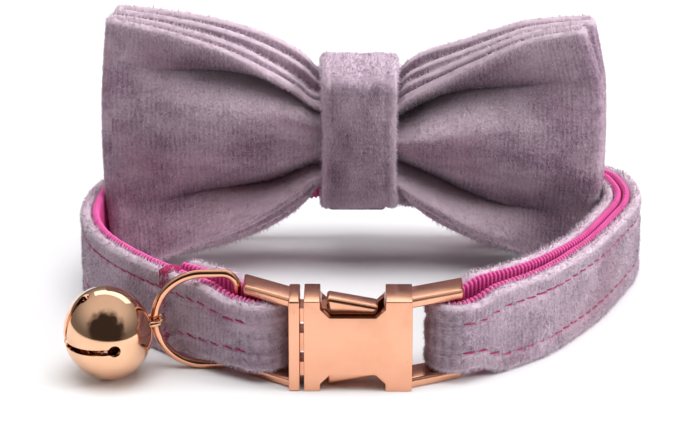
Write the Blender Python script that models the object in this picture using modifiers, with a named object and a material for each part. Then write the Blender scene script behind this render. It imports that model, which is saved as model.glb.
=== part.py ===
"""Cat collar: velvet strap lined with webbing, metal side-release buckle, D-ring with a bell, and a bow tie.

Lengths are in metres. The collar stands on the plane z = 0 with +Z up and the buckle at the front (-Y).
While it is modelled, y = 0 is the buckle's front face; at the end it is centred over its own footprint.
"""

from math import cos, pi, radians, sin

import bmesh
import bpy
from mathutils import Matrix, Vector

MM = 0.001

# Clearances and mesh settings
TOUCH_GAP = 0.3 * MM
MERGE_DISTANCE = 0.00001
STRAP_STEP = 1.9 * MM
TURN_STEPS = 8
ROD_SIDES = 14
HOLE_SIDES = 10
WIRE_RESOLUTION = 1
BELL_FACETS = (22, 14)
BELL_HOLLOW_FACETS = (18, 12)
PELLET_FACETS = (12, 8)
D_RING_STEPS = 19
EYE_STEPS = 14
CORNER_STEPS = 4
BAND_ROWS = 5

# Ring of the collar, measured to the outer face of the velvet
RING_HALF_WIDTH = 39.0 * MM
RING_DEPTH = 54.0 * MM
BACK_LIFT = 7.0 * MM
BACK_LIFT_REACH = 36.0 * MM

# Strap
STRAP_HEIGHT = 11.5 * MM
VELVET_THICKNESS = 1.2 * MM
WEBBING_THICKNESS = 0.9 * MM
LEFT_TAIL_LENGTH = 13.5 * MM
LEFT_TAPER_LENGTH = 21.6 * MM
RIGHT_TAIL_LENGTH = 95.0 * MM
RIGHT_TAPER_LENGTH = 30.0 * MM
SQUEEZE_LENGTH = 5.0 * MM

# Buckle
BUCKLE_HEIGHT = 12.0 * MM
BUCKLE_DEPTH = 6.0 * MM
BODY_LEFT = -6.5 * MM
BODY_RIGHT = 6.9 * MM
BODY_WALL = 1.2 * MM
NOTCH_DEPTH = 2.3 * MM
NOTCH_STRAIGHT = 0.9 * MM
NOTCH_LEFT = -4.5 * MM
NOTCH_RIGHT = 3.6 * MM
NOTCH_SLOPE = 1.2 * MM
CHANNEL_END_WALL = 1.2 * MM
SHOULDER_WIDTH = 1.4 * MM
SHOULDER_GAP = 0.5 * MM
LEVER_THICKNESS = 1.8 * MM
LEVER_INSET = 0.1 * MM
LEVER_LEAN = 1.2 * MM
LEVER_CLEARANCE = 0.8 * MM
NECK_HEIGHT = 2.4 * MM
RAIL_THICKNESS = 1.3 * MM
RAIL_DEPTH = 4.6 * MM
LEFT_RAIL_OVERHANG = 1.7 * MM
RIGHT_RAIL_OVERHANG = 1.1 * MM
BAR_RADIUS = 1.0 * MM
JOINT_OVERLAP = 0.4 * MM

# D-ring and bell
WIRE_RADIUS = 0.55 * MM
D_RING_HEIGHT = 13.4 * MM
D_RING_REACH = 10.9 * MM
D_RING_CORNER = 1.8 * MM
D_RING_TURN = radians(-2)
D_RING_FROM_BAR = 2.7 * MM
D_RING_PASS = 9.2 * MM
BELL_RADIUS = 5.95 * MM
BELL_FLATNESS = 0.92
BELL_WALL = 0.6 * MM
BELL_DROP = radians(-9)
BELL_TURN = radians(203)
SLIT_WIDTH = 0.8 * MM
SLIT_HOLE_RADIUS = 0.7 * MM
LONG_SLIT_REACH = radians(80)
SHORT_SLIT_REACH = radians(65)
EYE_RADIUS = 1.3 * MM
EYE_WIRE_RADIUS = 0.35 * MM
PELLET_RADIUS = 1.6 * MM

# Bow tie
BOW_HALF_WIDTH = 32.4 * MM
BOW_HEIGHT = 37.5 * MM
BOW_SETBACK = 15.6 * MM
SHEET_THICKNESS = 1.0 * MM
SHEET_GAP = 0.6 * MM
TIER_GAP = 0.8 * MM
EDGE_STAGGER = 0.34
BOW_TILT = 0.02
CREASE_DEPTH = 2.7 * MM
KNOT_WIDTH = 10.4 * MM
KNOT_WAIST = 9.7 * MM
KNOT_SHIFT = 0.3 * MM
KNOT_WALL = 1.2 * MM
KNOT_BOTTOM = 9.7 * MM
KNOT_TOP = 30.3 * MM
KNOT_BULGE = 0.8 * MM
KNOT_CORNER = 3.0 * MM
LOOP_WALL = 0.9 * MM
LOOP_WIDTH = 8.0 * MM
LOOP_CORNER = 1.2 * MM

# Outer face of the strap in plan, from the left bar round the back to the right bar.
# x is a share of RING_HALF_WIDTH and y a share of RING_DEPTH.
RING_OUTLINE = (
    ("x", "y"),
    (-0.305, 0.026),
    (-0.371, 0.056),
    (-0.508, 0.122),
    (-0.651, 0.222),
    (-0.785, 0.331),
    (-0.895, 0.456),
    (-0.951, 0.585),
    (-0.958, 0.713),
    (-0.921, 0.848),
    (-0.808, 0.948),
    (-0.615, 0.994),
    (-0.308, 1.000),
    (0.000, 1.000),
    (0.308, 1.002),
    (0.641, 1.009),
    (0.833, 0.996),
    (0.959, 0.935),
    (1.005, 0.806),
    (0.990, 0.694),
    (0.933, 0.585),
    (0.844, 0.443),
    (0.764, 0.341),
    (0.636, 0.209),
    (0.503, 0.122),
    (0.364, 0.048),
    (0.269, 0.013),
)
LEFT_BAR_ROW = 1
RIGHT_BAR_ROW = 24
OUTLINE_STEPS = 12
TANGENT_POINTS = 2

# Upper and lower edges of the bow's two tiers, from the knot outwards.
# x is a share of BOW_HALF_WIDTH, the others are shares of BOW_HEIGHT.
BOW_EDGES = (
    ("x", "front_top", "front_bottom", "back_top", "back_bottom"),
    (0.00, 0.670, 0.385, 0.715, 0.325),
    (0.14, 0.690, 0.375, 0.730, 0.322),
    (0.20, 0.735, 0.340, 0.775, 0.305),
    (0.26, 0.780, 0.300, 0.850, 0.215),
    (0.39, 0.855, 0.235, 0.918, 0.147),
    (0.60, 0.925, 0.140, 0.966, 0.070),
    (0.80, 0.960, 0.060, 0.990, 0.020),
    (1.00, 0.972, 0.014, 0.998, 0.012),
)
FRONT_TIER = ("front_top", "front_bottom")
BACK_TIER = ("back_top", "back_bottom")
BOW_COLUMNS = 14
BOW_ROWS = 11

# The two creases of the bow: place and half-width are shares of the sheet's height there
CREASES = (("place", "half_width"), (0.24, 0.19), (0.82, 0.16))

# Depth of both creases along a wing, as a share of CREASE_DEPTH
CREASE_FADE = (
    ("x", "depth"),
    (0.00, 0.20),
    (0.15, 0.30),
    (0.22, 0.62),
    (0.32, 0.92),
    (0.42, 1.00),
    (0.52, 0.92),
    (0.68, 0.50),
    (0.82, 0.16),
    (1.00, 0.00),
)

FINISHES = {
    "velvet": ((0.42, 0.30, 0.42), 0.95, 0.0),
    "webbing": ((0.80, 0.05, 0.38), 0.60, 0.0),
    "rose_gold": ((0.90, 0.52, 0.36), 0.20, 1.0),
    "elastic": ((0.45, 0.34, 0.45), 0.85, 0.0),
}
SHARP_ANGLE = radians(35)


def clear_scene():
    """Remove every object of the open scene."""
    for old in list(bpy.data.objects):
        bpy.data.objects.remove(old, do_unlink=True)


def new_collection(name):
    """Add a collection under the scene."""
    collection = bpy.data.collections.new(name)
    bpy.context.scene.collection.children.link(collection)
    return collection


def make_material(node_name, finish):
    """Plain finish of one piece."""
    colour, roughness, metallic = FINISHES[finish]
    material = bpy.data.materials.new(node_name + "_" + finish)
    material.use_nodes = True
    shader = material.node_tree.nodes["Principled BSDF"]
    shader.inputs["Base Color"].default_value = (*colour, 1.0)
    shader.inputs["Roughness"].default_value = roughness
    shader.inputs["Metallic"].default_value = metallic
    return material


def add_part(name, mesh, finish):
    """Put a mesh into the model under its final name, shaded smooth with sharp corners."""
    mesh.materials.clear()
    mesh.materials.append(make_material(name, finish))
    mesh.shade_smooth()
    mesh.set_sharp_from_angle(angle=SHARP_ANGLE)
    part = bpy.data.objects.new(name, mesh)
    PARTS.objects.link(part)
    part.parent = ROOT
    return part


def add_cutter(name, mesh):
    """Put a mesh into the cutters' collection, unrendered."""
    cutter = bpy.data.objects.new(name, mesh)
    CUTTERS.objects.link(cutter)
    cutter.parent = ROOT
    cutter.hide_render = True
    cutter.display_type = "WIRE"
    return cutter


def mesh_from(name, build):
    """New mesh filled by a function that works on a bmesh."""
    shape = bmesh.new()
    build(shape)
    bmesh.ops.recalc_face_normals(shape, faces=shape.faces)
    mesh = bpy.data.meshes.new(name)
    shape.to_mesh(mesh)
    shape.free()
    return mesh


def prism_mesh(name, outline, start, end):
    """Solid between two parallel flat outlines, each point given as a Vector and moved from start to end."""

    def build(shape):
        face = shape.faces.new([shape.verts.new(point + start) for point in outline])
        moved = bmesh.ops.extrude_face_region(shape, geom=[face])["geom"]
        corners = [item for item in moved if isinstance(item, bmesh.types.BMVert)]
        bmesh.ops.translate(shape, verts=corners, vec=end - start)

    return mesh_from(name, build)


def plan_prism(name, outline, bottom, top):
    """Upright solid over an outline in plan."""
    flat = [Vector((x, y, 0.0)) for x, y in outline]
    return prism_mesh(name, flat, Vector((0, 0, bottom)), Vector((0, 0, top)))


def side_prism(name, outline, front, back):
    """Solid that runs from front to back behind an outline drawn in x and z."""
    flat = [Vector((x, 0.0, z)) for x, z in outline]
    return prism_mesh(name, flat, Vector((0, front, 0)), Vector((0, back, 0)))


def box_mesh(name, low, high):
    """Box between two corners."""
    size = Vector(high) - Vector(low)
    middle = (Vector(high) + Vector(low)) / 2

    def build(shape):
        bmesh.ops.create_cube(shape, size=1.0, matrix=Matrix.Translation(middle) @ Matrix.Diagonal((*size, 1.0)))

    return mesh_from(name, build)


def cylinder_mesh(name, centre, direction, radius, length, sides):
    """Cylinder about a point, along a direction."""
    turn = direction.to_track_quat("Z", "Y").to_matrix().to_4x4()

    def build(shape):
        bmesh.ops.create_cone(
            shape,
            cap_ends=True,
            segments=sides,
            radius1=radius,
            radius2=radius,
            depth=length,
            matrix=Matrix.Translation(centre) @ turn,
        )

    return mesh_from(name, build)


def sphere_mesh(name, centre, radius, facets, turn=None):
    """Ball about a point, with its poles along the local Z of a turn."""
    frame = Matrix.Translation(centre) @ (turn or Matrix.Identity(4))

    def build(shape):
        bmesh.ops.create_uvsphere(shape, u_segments=facets[0], v_segments=facets[1], radius=radius, matrix=frame)

    return mesh_from(name, build)


def wire_mesh(name, points, radius):
    """Round wire along points and back to the first, as a mesh."""
    curve = bpy.data.curves.new(name, "CURVE")
    curve.dimensions = "3D"
    curve.bevel_depth = radius
    curve.bevel_resolution = WIRE_RESOLUTION
    spline = curve.splines.new("POLY")
    spline.points.add(len(points) - 1)
    for point, place in zip(spline.points, points):
        point.co = (*place, 1.0)
    spline.use_cyclic_u = True
    holder = bpy.data.objects.new(name, curve)
    CUTTERS.objects.link(holder)
    bpy.context.view_layer.update()
    depsgraph = bpy.context.evaluated_depsgraph_get()
    mesh = bpy.data.meshes.new_from_object(holder.evaluated_get(depsgraph))
    bpy.data.objects.remove(holder, do_unlink=True)
    bpy.data.curves.remove(curve)
    shape = bmesh.new()
    shape.from_mesh(mesh)
    bmesh.ops.remove_doubles(shape, verts=shape.verts, dist=MERGE_DISTANCE)
    bmesh.ops.recalc_face_normals(shape, faces=shape.faces)
    shape.to_mesh(mesh)
    shape.free()
    return mesh


def combine(part, operation, cutters):
    """Join or cut a part with others by Boolean modifiers."""
    for index, cutter in enumerate(cutters):
        modifier = part.modifiers.new(operation.lower() + str(index), "BOOLEAN")
        modifier.operation = operation
        modifier.object = cutter
        modifier.solver = "EXACT"


def sheet_mesh(name, stations, rows, point_at, closed):
    """Open surface over stations and rows, each corner given by point_at(station, share of height)."""

    def build(shape):
        columns = []
        for station in stations:
            columns.append([shape.verts.new(point_at(station, row / (rows - 1))) for row in range(rows)])
        neighbours = zip(columns, columns[1:] + columns[:1]) if closed else zip(columns, columns[1:])
        for left, right in neighbours:
            for row in range(rows - 1):
                shape.faces.new((left[row], right[row], right[row + 1], left[row + 1]))

    return mesh_from(name, build)


def thicken(part, thickness):
    """Give a surface its wall, half to each side."""
    wall = part.modifiers.new("wall", "SOLIDIFY")
    wall.thickness = thickness
    wall.offset = 0.0
    wall.use_even_offset = True
    wall.use_rim = True


def interpolate(table, column, value):
    """Straight-line reading of a named column of a table that is sorted by its first column."""
    names, rows = table[0], table[1:]
    index = names.index(column)
    for before, after in zip(rows, rows[1:]):
        if value <= after[0]:
            share = (value - before[0]) / (after[0] - before[0])
            return before[index] + share * (after[index] - before[index])
    return rows[-1][index]


def ease(share):
    """Smooth step from 0 to 1."""
    share = min(max(share, 0.0), 1.0)
    return share * share * (3.0 - 2.0 * share)


class RingOutline:
    """The strap's outer face in plan, read by the distance along it."""

    def __init__(self):
        knots = [Vector((x * RING_HALF_WIDTH, y * RING_DEPTH)) for x, y in RING_OUTLINE[1:]]
        self.points = []
        self.row_index = []
        last = len(knots) - 1
        for index in range(last):
            before, start = knots[max(index - 1, 0)], knots[index]
            end, after = knots[index + 1], knots[min(index + 2, last)]
            self.row_index.append(len(self.points))
            for step in range(OUTLINE_STEPS):
                self.points.append(self.spline_point(before, start, end, after, step / OUTLINE_STEPS))
        self.row_index.append(len(self.points))
        self.points.append(knots[-1])
        self.distances = [0.0]
        for start, end in zip(self.points, self.points[1:]):
            self.distances.append(self.distances[-1] + (end - start).length)
        self.left_bar = self.distances[self.row_index[LEFT_BAR_ROW]]
        self.right_bar = self.distances[self.row_index[RIGHT_BAR_ROW]]
        self.back = self.distances[min(range(len(self.points)), key=self.distance_from_back)]

    def distance_from_back(self, index):
        """How far a point lies from the middle of the back."""
        return (self.points[index] - Vector((0.0, RING_DEPTH))).length

    @staticmethod
    def spline_point(before, start, end, after, share):
        """Point of a Catmull-Rom spline between start and end."""
        slope_in = (end - before) / 2
        slope_out = (after - start) / 2
        cube, square = share**3, share**2
        return (
            start * (2 * cube - 3 * square + 1)
            + slope_in * (cube - 2 * square + share)
            + end * (3 * square - 2 * cube)
            + slope_out * (cube - square)
        )

    def place(self, distance):
        """Point and inward normal at a distance along the outline."""
        index = 0
        while index < len(self.distances) - 2 and self.distances[index + 1] < distance:
            index += 1
        start, end = self.points[index], self.points[index + 1]
        share = (distance - self.distances[index]) / (self.distances[index + 1] - self.distances[index])
        before = self.points[max(index - TANGENT_POINTS, 0)]
        after = self.points[min(index + 1 + TANGENT_POINTS, len(self.points) - 1)]
        along = (after - before).normalized()
        return start + (end - start) * share, Vector((along.y, -along.x))


class Station:
    """One place along the strap: the webbing's middle, the side its velvet is on, and its lower and upper edge."""

    def __init__(self, middle, velvet_side, bottom, top):
        self.middle = middle
        self.velvet_side = velvet_side
        self.bottom = bottom
        self.top = top


FIRST_WEBBING = VELVET_THICKNESS + TOUCH_GAP + WEBBING_THICKNESS / 2
TURN_RADIUS = BAR_RADIUS + TOUCH_GAP + WEBBING_THICKNESS / 2
LAYER_PITCH = WEBBING_THICKNESS + TOUCH_GAP
BAR_INSET = FIRST_WEBBING + TURN_RADIUS
BOW_FACE = RING_DEPTH - BOW_SETBACK
LOOP_OPENING_BOTTOM = RAIL_THICKNESS + TOUCH_GAP
LOOP_OPENING_TOP = BUCKLE_HEIGHT - RAIL_THICKNESS - TOUCH_GAP


def lift_at(outline, distance):
    """How far the strap stands off the table behind the bow."""
    away = abs(distance - outline.back)
    return BACK_LIFT * cos(pi * away / (2 * BACK_LIFT_REACH)) ** 2 if away < BACK_LIFT_REACH else 0.0


def edges_at(outline, distance):
    """Lower and upper edge of the strap, squeezed where it passes the buckle's loops and the D-ring."""
    from_left = distance - outline.left_bar
    from_right = outline.right_bar - distance - RIGHT_RAIL_OVERHANG
    opened_below = ease(min(from_left - D_RING_PASS, from_right) / SQUEEZE_LENGTH)
    opened_above = ease(min(from_left - LEFT_RAIL_OVERHANG, from_right) / SQUEEZE_LENGTH)
    lift = lift_at(outline, distance)
    bottom = LOOP_OPENING_BOTTOM * (1.0 - opened_below) + lift
    top = LOOP_OPENING_TOP + (STRAP_HEIGHT - LOOP_OPENING_TOP) * opened_above + lift
    return bottom, top


def spaced(start, end, step):
    """Evenly spaced values from start to end, about a step apart."""
    count = max(2, round(abs(end - start) / step))
    return [start + (end - start) * index / count for index in range(count + 1)]


def bar_place(outline, distance):
    """Middle of the buckle bar that the strap folds round."""
    point, inward = outline.place(distance)
    return point + inward * BAR_INSET, inward


def turn_stations(outline, distance, towards_inside):
    """The strap's half turn round a bar."""
    bar, inward = bar_place(outline, distance)
    buckle_side = Vector((-1.0, 0.0)) if bar.x > 0 else Vector((1.0, 0.0))
    sideways = buckle_side - inward * buckle_side.dot(inward)
    sideways.normalize()
    stations = []
    for step in range(1, TURN_STEPS):
        angle = pi * step / TURN_STEPS
        away = -inward * cos(angle) + sideways * sin(angle)
        if not towards_inside:
            away = inward * cos(angle) + sideways * sin(angle)
        stations.append(Station(bar + away * TURN_RADIUS, away, LOOP_OPENING_BOTTOM, LOOP_OPENING_TOP))
    return stations


def layer_stations(outline, distances, inner, bar_distance=0.0, taper=RIGHT_TAPER_LENGTH):
    """The outer layer of the strap, or the layer folded back inside it."""
    stations = []
    for distance in distances:
        point, inward = outline.place(distance)
        bottom, top = edges_at(outline, distance)
        depth = FIRST_WEBBING
        side = -inward
        if inner:
            closed = ease(abs(distance - bar_distance) / taper)
            depth += 2 * TURN_RADIUS * (1.0 - closed) + LAYER_PITCH * closed
            side = inward
        stations.append(Station(point + inward * depth, side, bottom, top))
    return stations


def strap_stations(outline):
    """The whole strap from its left end, round both bars, to its right end."""
    left, right = outline.left_bar, outline.right_bar
    left_tail = spaced(left + LEFT_TAIL_LENGTH, left, STRAP_STEP)
    stations = layer_stations(outline, left_tail, True, left, LEFT_TAPER_LENGTH)
    stations += turn_stations(outline, left, False)
    stations += layer_stations(outline, spaced(left, right, STRAP_STEP), False)
    stations += turn_stations(outline, right, True)
    stations += layer_stations(outline, spaced(right, right - RIGHT_TAIL_LENGTH, STRAP_STEP), True, right)
    return stations


def make_strap(outline):
    """Velvet and webbing of the strap, two bands face to face along one route."""
    stations = strap_stations(outline)
    velvet_offset = WEBBING_THICKNESS / 2 + TOUCH_GAP + VELVET_THICKNESS / 2
    layers = (
        ("strap_velvet", "velvet", VELVET_THICKNESS, velvet_offset),
        ("strap_webbing", "webbing", WEBBING_THICKNESS, 0.0),
    )
    for name, finish, thickness, offset in layers:

        def point_at(station, share, offset=offset):
            flat = station.middle + station.velvet_side * offset
            return Vector((flat.x, flat.y, station.bottom + (station.top - station.bottom) * share))

        band = add_part(name, sheet_mesh(name, stations, 2, point_at, False), finish)
        thicken(band, thickness)


def make_loop_frame(name, outline, bar_distance, inner_edge, overhang):
    """Two rails and the upright bar that the strap folds round, starting at the buckle's inner edge."""
    bar, _inward = bar_place(outline, bar_distance)
    side = 1.0 if bar.x > 0 else -1.0
    end_x = bar.x + side * overhang
    slope = (bar.y - BUCKLE_DEPTH / 2) / (bar.x - inner_edge)
    end_y = bar.y + slope * side * overhang
    half = RAIL_DEPTH / 2
    middle = BUCKLE_DEPTH / 2
    rail = (
        (inner_edge - side * JOINT_OVERLAP, middle - half),
        (end_x, end_y - half),
        (end_x, end_y + half),
        (inner_edge - side * JOINT_OVERLAP, middle + half),
    )
    top_rail = plan_prism(name + "_rail_top", rail, BUCKLE_HEIGHT - RAIL_THICKNESS, BUCKLE_HEIGHT)
    bottom_rail = plan_prism(name + "_rail_bottom", rail, 0.0, RAIL_THICKNESS)
    middle_bar = Vector((bar.x, bar.y, BUCKLE_HEIGHT / 2))
    bar_length = BUCKLE_HEIGHT - RAIL_THICKNESS
    bar_mesh = cylinder_mesh(name + "_bar", middle_bar, Vector((0, 0, 1)), BAR_RADIUS, bar_length, ROD_SIDES)
    named = {"_rail_top": top_rail, "_rail_bottom": bottom_rail, "_bar": bar_mesh}
    return [add_cutter(name + ending, mesh) for ending, mesh in named.items()]


def notch_outline(upper):
    """Waist cut of the buckle's body, drawn in x and z, past its edge by a notch depth."""
    points = (
        (NOTCH_LEFT, -NOTCH_DEPTH),
        (NOTCH_LEFT, NOTCH_STRAIGHT),
        (NOTCH_LEFT + NOTCH_SLOPE, NOTCH_DEPTH),
        (NOTCH_RIGHT - NOTCH_SLOPE, NOTCH_DEPTH),
        (NOTCH_RIGHT, NOTCH_STRAIGHT),
        (NOTCH_RIGHT, -NOTCH_DEPTH),
    )
    return [(x, BUCKLE_HEIGHT - z) if upper else (x, z) for x, z in points]


def make_buckle_body(outline):
    """Female half: a case with two waist notches, a channel for the tongue, and the right loop."""
    case = box_mesh("buckle_body", (BODY_LEFT, 0.0, 0.0), (BODY_RIGHT, BUCKLE_DEPTH, BUCKLE_HEIGHT))
    body = add_part("buckle_body", case, "rose_gold")
    notches = [
        add_cutter("notch_top", side_prism("notch_top", notch_outline(True), -BODY_WALL, BUCKLE_DEPTH + BODY_WALL)),
        add_cutter("notch_low", side_prism("notch_low", notch_outline(False), -BODY_WALL, BUCKLE_DEPTH + BODY_WALL)),
    ]
    channel = box_mesh(
        "channel",
        (BODY_LEFT - BODY_WALL, BODY_WALL, BODY_WALL),
        (BODY_RIGHT - CHANNEL_END_WALL, BUCKLE_DEPTH - BODY_WALL, BUCKLE_HEIGHT - BODY_WALL),
    )
    combine(body, "DIFFERENCE", notches + [add_cutter("channel", channel)])
    loop = make_loop_frame("body_loop", outline, outline.right_bar, BODY_RIGHT, RIGHT_RAIL_OVERHANG)
    combine(body, "UNION", loop)


def lever_outline(upper):
    """One release lever, drawn in x and z: it rises into the notch and leans in towards its tip."""
    root = BODY_LEFT - SHOULDER_GAP - JOINT_OVERLAP
    tip = NOTCH_RIGHT - LEVER_CLEARANCE
    knee = NOTCH_LEFT + LEVER_CLEARANCE
    channel_top = BODY_WALL + TOUCH_GAP
    inside = channel_top + LEVER_THICKNESS
    points = (
        (root, channel_top),
        (knee, channel_top),
        (knee, LEVER_INSET),
        (tip, LEVER_LEAN),
        (tip, LEVER_LEAN + LEVER_THICKNESS),
        (knee, inside),
        (root, inside),
    )
    return [(x, BUCKLE_HEIGHT - z) if upper else (x, z) for x, z in points]


def make_buckle_tongue(outline):
    """Male half: a shoulder, two levers and a neck inside the case, and the left loop."""
    right = BODY_LEFT - SHOULDER_GAP
    left = right - SHOULDER_WIDTH
    shoulder = box_mesh("buckle_tongue", (left, 0.0, 0.0), (right, BUCKLE_DEPTH, BUCKLE_HEIGHT))
    tongue = add_part("buckle_tongue", shoulder, "rose_gold")
    front = BODY_WALL + TOUCH_GAP
    back = BUCKLE_DEPTH - BODY_WALL - TOUCH_GAP
    middle = BUCKLE_HEIGHT / 2
    neck = box_mesh(
        "neck",
        (right - JOINT_OVERLAP, front, middle - NECK_HEIGHT / 2),
        (BODY_RIGHT - CHANNEL_END_WALL - TOUCH_GAP, back, middle + NECK_HEIGHT / 2),
    )
    inner = [
        add_cutter("lever_top", side_prism("lever_top", lever_outline(True), front, back)),
        add_cutter("lever_low", side_prism("lever_low", lever_outline(False), front, back)),
        add_cutter("neck", neck),
    ]
    loop = make_loop_frame("tongue_loop", outline, outline.left_bar, left, LEFT_RAIL_OVERHANG)
    combine(tongue, "UNION", inner + loop)


def arc_points(centre, across, up, radius_across, radius_up, start, end, count):
    """Points of an elliptic arc in the plane of two unit vectors."""
    points = []
    for index in range(count):
        angle = start + (end - start) * index / (count - 1)
        points.append(centre + across * (radius_across * cos(angle)) + up * (radius_up * sin(angle)))
    return points


def make_d_ring_and_bell(outline):
    """D-ring threaded round the outer layer, and the bell that hangs on it and lies on the table."""
    point, inward = outline.place(outline.left_bar + D_RING_FROM_BAR)
    seat = FIRST_WEBBING + WEBBING_THICKNESS / 2 + TOUCH_GAP + WIRE_RADIUS
    bar = point + inward * seat
    middle = D_RING_HEIGHT / 2
    half = middle - WIRE_RADIUS
    across = Vector((-cos(D_RING_TURN), sin(D_RING_TURN), 0.0))
    up = Vector((0.0, 0.0, 1.0))
    straight = D_RING_REACH - WIRE_RADIUS - half
    bar_middle = Vector((bar.x, bar.y, middle))
    arc = arc_points(bar_middle + across * straight, across, up, half, half, -pi / 2, pi / 2, D_RING_STEPS)
    round_in = half - D_RING_CORNER
    for side, start, end in ((1.0, pi / 2, pi), (-1.0, pi, 1.5 * pi)):
        corner = bar_middle + across * D_RING_CORNER + up * side * round_in
        arc += arc_points(corner, across, up, D_RING_CORNER, D_RING_CORNER, start, end, CORNER_STEPS)
    add_part("d_ring", wire_mesh("d_ring", arc, WIRE_RADIUS), "rose_gold")

    tip = bar_middle + across * (straight + half)
    outwards = Vector((cos(BELL_TURN) * cos(BELL_DROP), sin(BELL_TURN) * cos(BELL_DROP), sin(BELL_DROP)))
    eye_centre = tip + outwards * (EYE_RADIUS - EYE_WIRE_RADIUS - WIRE_RADIUS - TOUCH_GAP / 2)
    centre = eye_centre + outwards * (BELL_RADIUS * BELL_FLATNESS + EYE_RADIUS - EYE_WIRE_RADIUS * 2)
    centre.z = BELL_RADIUS
    make_bell(centre, eye_centre)


def make_bell(centre, eye_centre):
    """Jingle bell: a thin ball, flattened along its axis, with two crossing slits away from its eye, and a loose
    pellet."""
    axis = (centre - eye_centre).normalized()
    turn = axis.to_track_quat("Z", "Y").to_matrix().to_4x4() @ Matrix.Diagonal((1.0, 1.0, BELL_FLATNESS, 1.0))
    place = Matrix.Translation(centre) @ turn
    bell = add_part("bell", sphere_mesh("bell", centre, BELL_RADIUS, BELL_FACETS, turn), "rose_gold")
    hollow = sphere_mesh("bell_hollow", centre, BELL_RADIUS - BELL_WALL, BELL_HOLLOW_FACETS, turn)
    cutters = [add_cutter("bell_hollow", hollow)]
    slits = (
        ("slit_long", Vector((1, 0, 0)), LONG_SLIT_REACH),
        ("slit_short", Vector((0, 1, 0)), SHORT_SLIT_REACH),
    )
    reach = BELL_RADIUS + EYE_RADIUS
    for name, across, angle in slits:
        depth = BELL_RADIUS * cos(angle)
        thin = Vector((1, 1, 0)) - across
        low = -across * reach - thin * SLIT_WIDTH / 2 + Vector((0, 0, depth))
        high = across * reach + thin * SLIT_WIDTH / 2 + Vector((0, 0, reach))
        slit = box_mesh(name, low, high)
        slit.transform(place)
        hole = cylinder_mesh(
            name + "_hole",
            place @ Vector((0, 0, depth)),
            turn.to_3x3() @ across,
            SLIT_HOLE_RADIUS,
            reach * 2,
            HOLE_SIDES,
        )
        cutters += [add_cutter(name, slit), add_cutter(name + "_hole", hole)]
    combine(bell, "DIFFERENCE", cutters)

    side = Vector((0, 0, 1)).cross(axis).normalized()
    last = 2 * pi * (EYE_STEPS - 1) / EYE_STEPS
    ring = arc_points(eye_centre, axis, side, EYE_RADIUS, EYE_RADIUS, 0.0, last, EYE_STEPS)
    combine(bell, "UNION", [add_cutter("bell_eye", wire_mesh("bell_eye", ring, EYE_WIRE_RADIUS))])

    floor = centre - Vector((0, 0, BELL_RADIUS - BELL_WALL - TOUCH_GAP - PELLET_RADIUS))
    add_part("bell_pellet", sphere_mesh("bell_pellet", floor, PELLET_RADIUS, PELLET_FACETS), "rose_gold")


def edge_heights(edges, share_out):
    """Upper and lower edge of a tier at a share of its wing."""
    upper, lower = edges
    top = interpolate(BOW_EDGES, upper, share_out) * BOW_HEIGHT
    bottom = interpolate(BOW_EDGES, lower, share_out) * BOW_HEIGHT
    return top, bottom


def crease_depth(share_out, height):
    """How far back the two creases press every sheet of the bow, at a share of the wing and a height."""
    top, bottom = edge_heights(FRONT_TIER, share_out)
    depth = 0.0
    for place, half_width in CREASES[1:]:
        away = abs((height - bottom) / (top - bottom) - place) / half_width
        if away < 1.0:
            depth += (1.0 + cos(pi * away)) / 2
    return depth * CREASE_DEPTH * interpolate(CREASE_FADE, "depth", share_out)


def make_tier(name, edges, other_edges, face_y):
    """One tier of the bow: a flattened velvet tube, gathered at the knot. The edges of its inner sheet lie
    EDGE_STAGGER of the way to those of the other tier."""
    lead = 1.0 if edges == FRONT_TIER else 0.0
    pitch = SHEET_THICKNESS + SHEET_GAP
    reach = BOW_HALF_WIDTH - SHEET_THICKNESS / 2 - pitch / 2
    shares = [index / BOW_COLUMNS for index in range(-BOW_COLUMNS, BOW_COLUMNS + 1)]
    stations = [(share, 0.0, 0.0) for share in shares] + [(1.0, 1.0, 0.5)]
    stations += [(share, 0.0, 1.0) for share in reversed(shares)] + [(-1.0, -1.0, 0.5)]

    def point_at(station, share_up):
        share, turn, depth = station
        x = share * reach + turn * pitch / 2
        inwards = EDGE_STAGGER * (depth if lead else 1.0 - depth)
        top, bottom = edge_heights(edges, abs(share))
        other_top, other_bottom = edge_heights(other_edges, abs(share))
        top += (other_top - top) * inwards
        bottom += (other_bottom - bottom) * inwards
        z = bottom + (top - bottom) * share_up
        y = face_y + SHEET_THICKNESS / 2 + depth * pitch + crease_depth(abs(share), z)
        return Vector((x, y, z - x * BOW_TILT * share_up))

    tier = add_part(name, sheet_mesh(name, stations, BOW_ROWS, point_at, True), "velvet")
    thicken(tier, SHEET_THICKNESS)


def rounded_loop(front, back, bottom, top, corner):
    """Points in y and z of a rectangle with round corners."""
    centres = (
        (front + corner, bottom + corner, pi),
        (back - corner, bottom + corner, 1.5 * pi),
        (back - corner, top - corner, 0.0),
        (front + corner, top - corner, 0.5 * pi),
    )
    points = []
    for y, z, start in centres:
        for step in range(CORNER_STEPS):
            angle = start + step * pi / 2 / (CORNER_STEPS - 1)
            points.append((y + corner * cos(angle), z + corner * sin(angle)))
    return points


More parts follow.
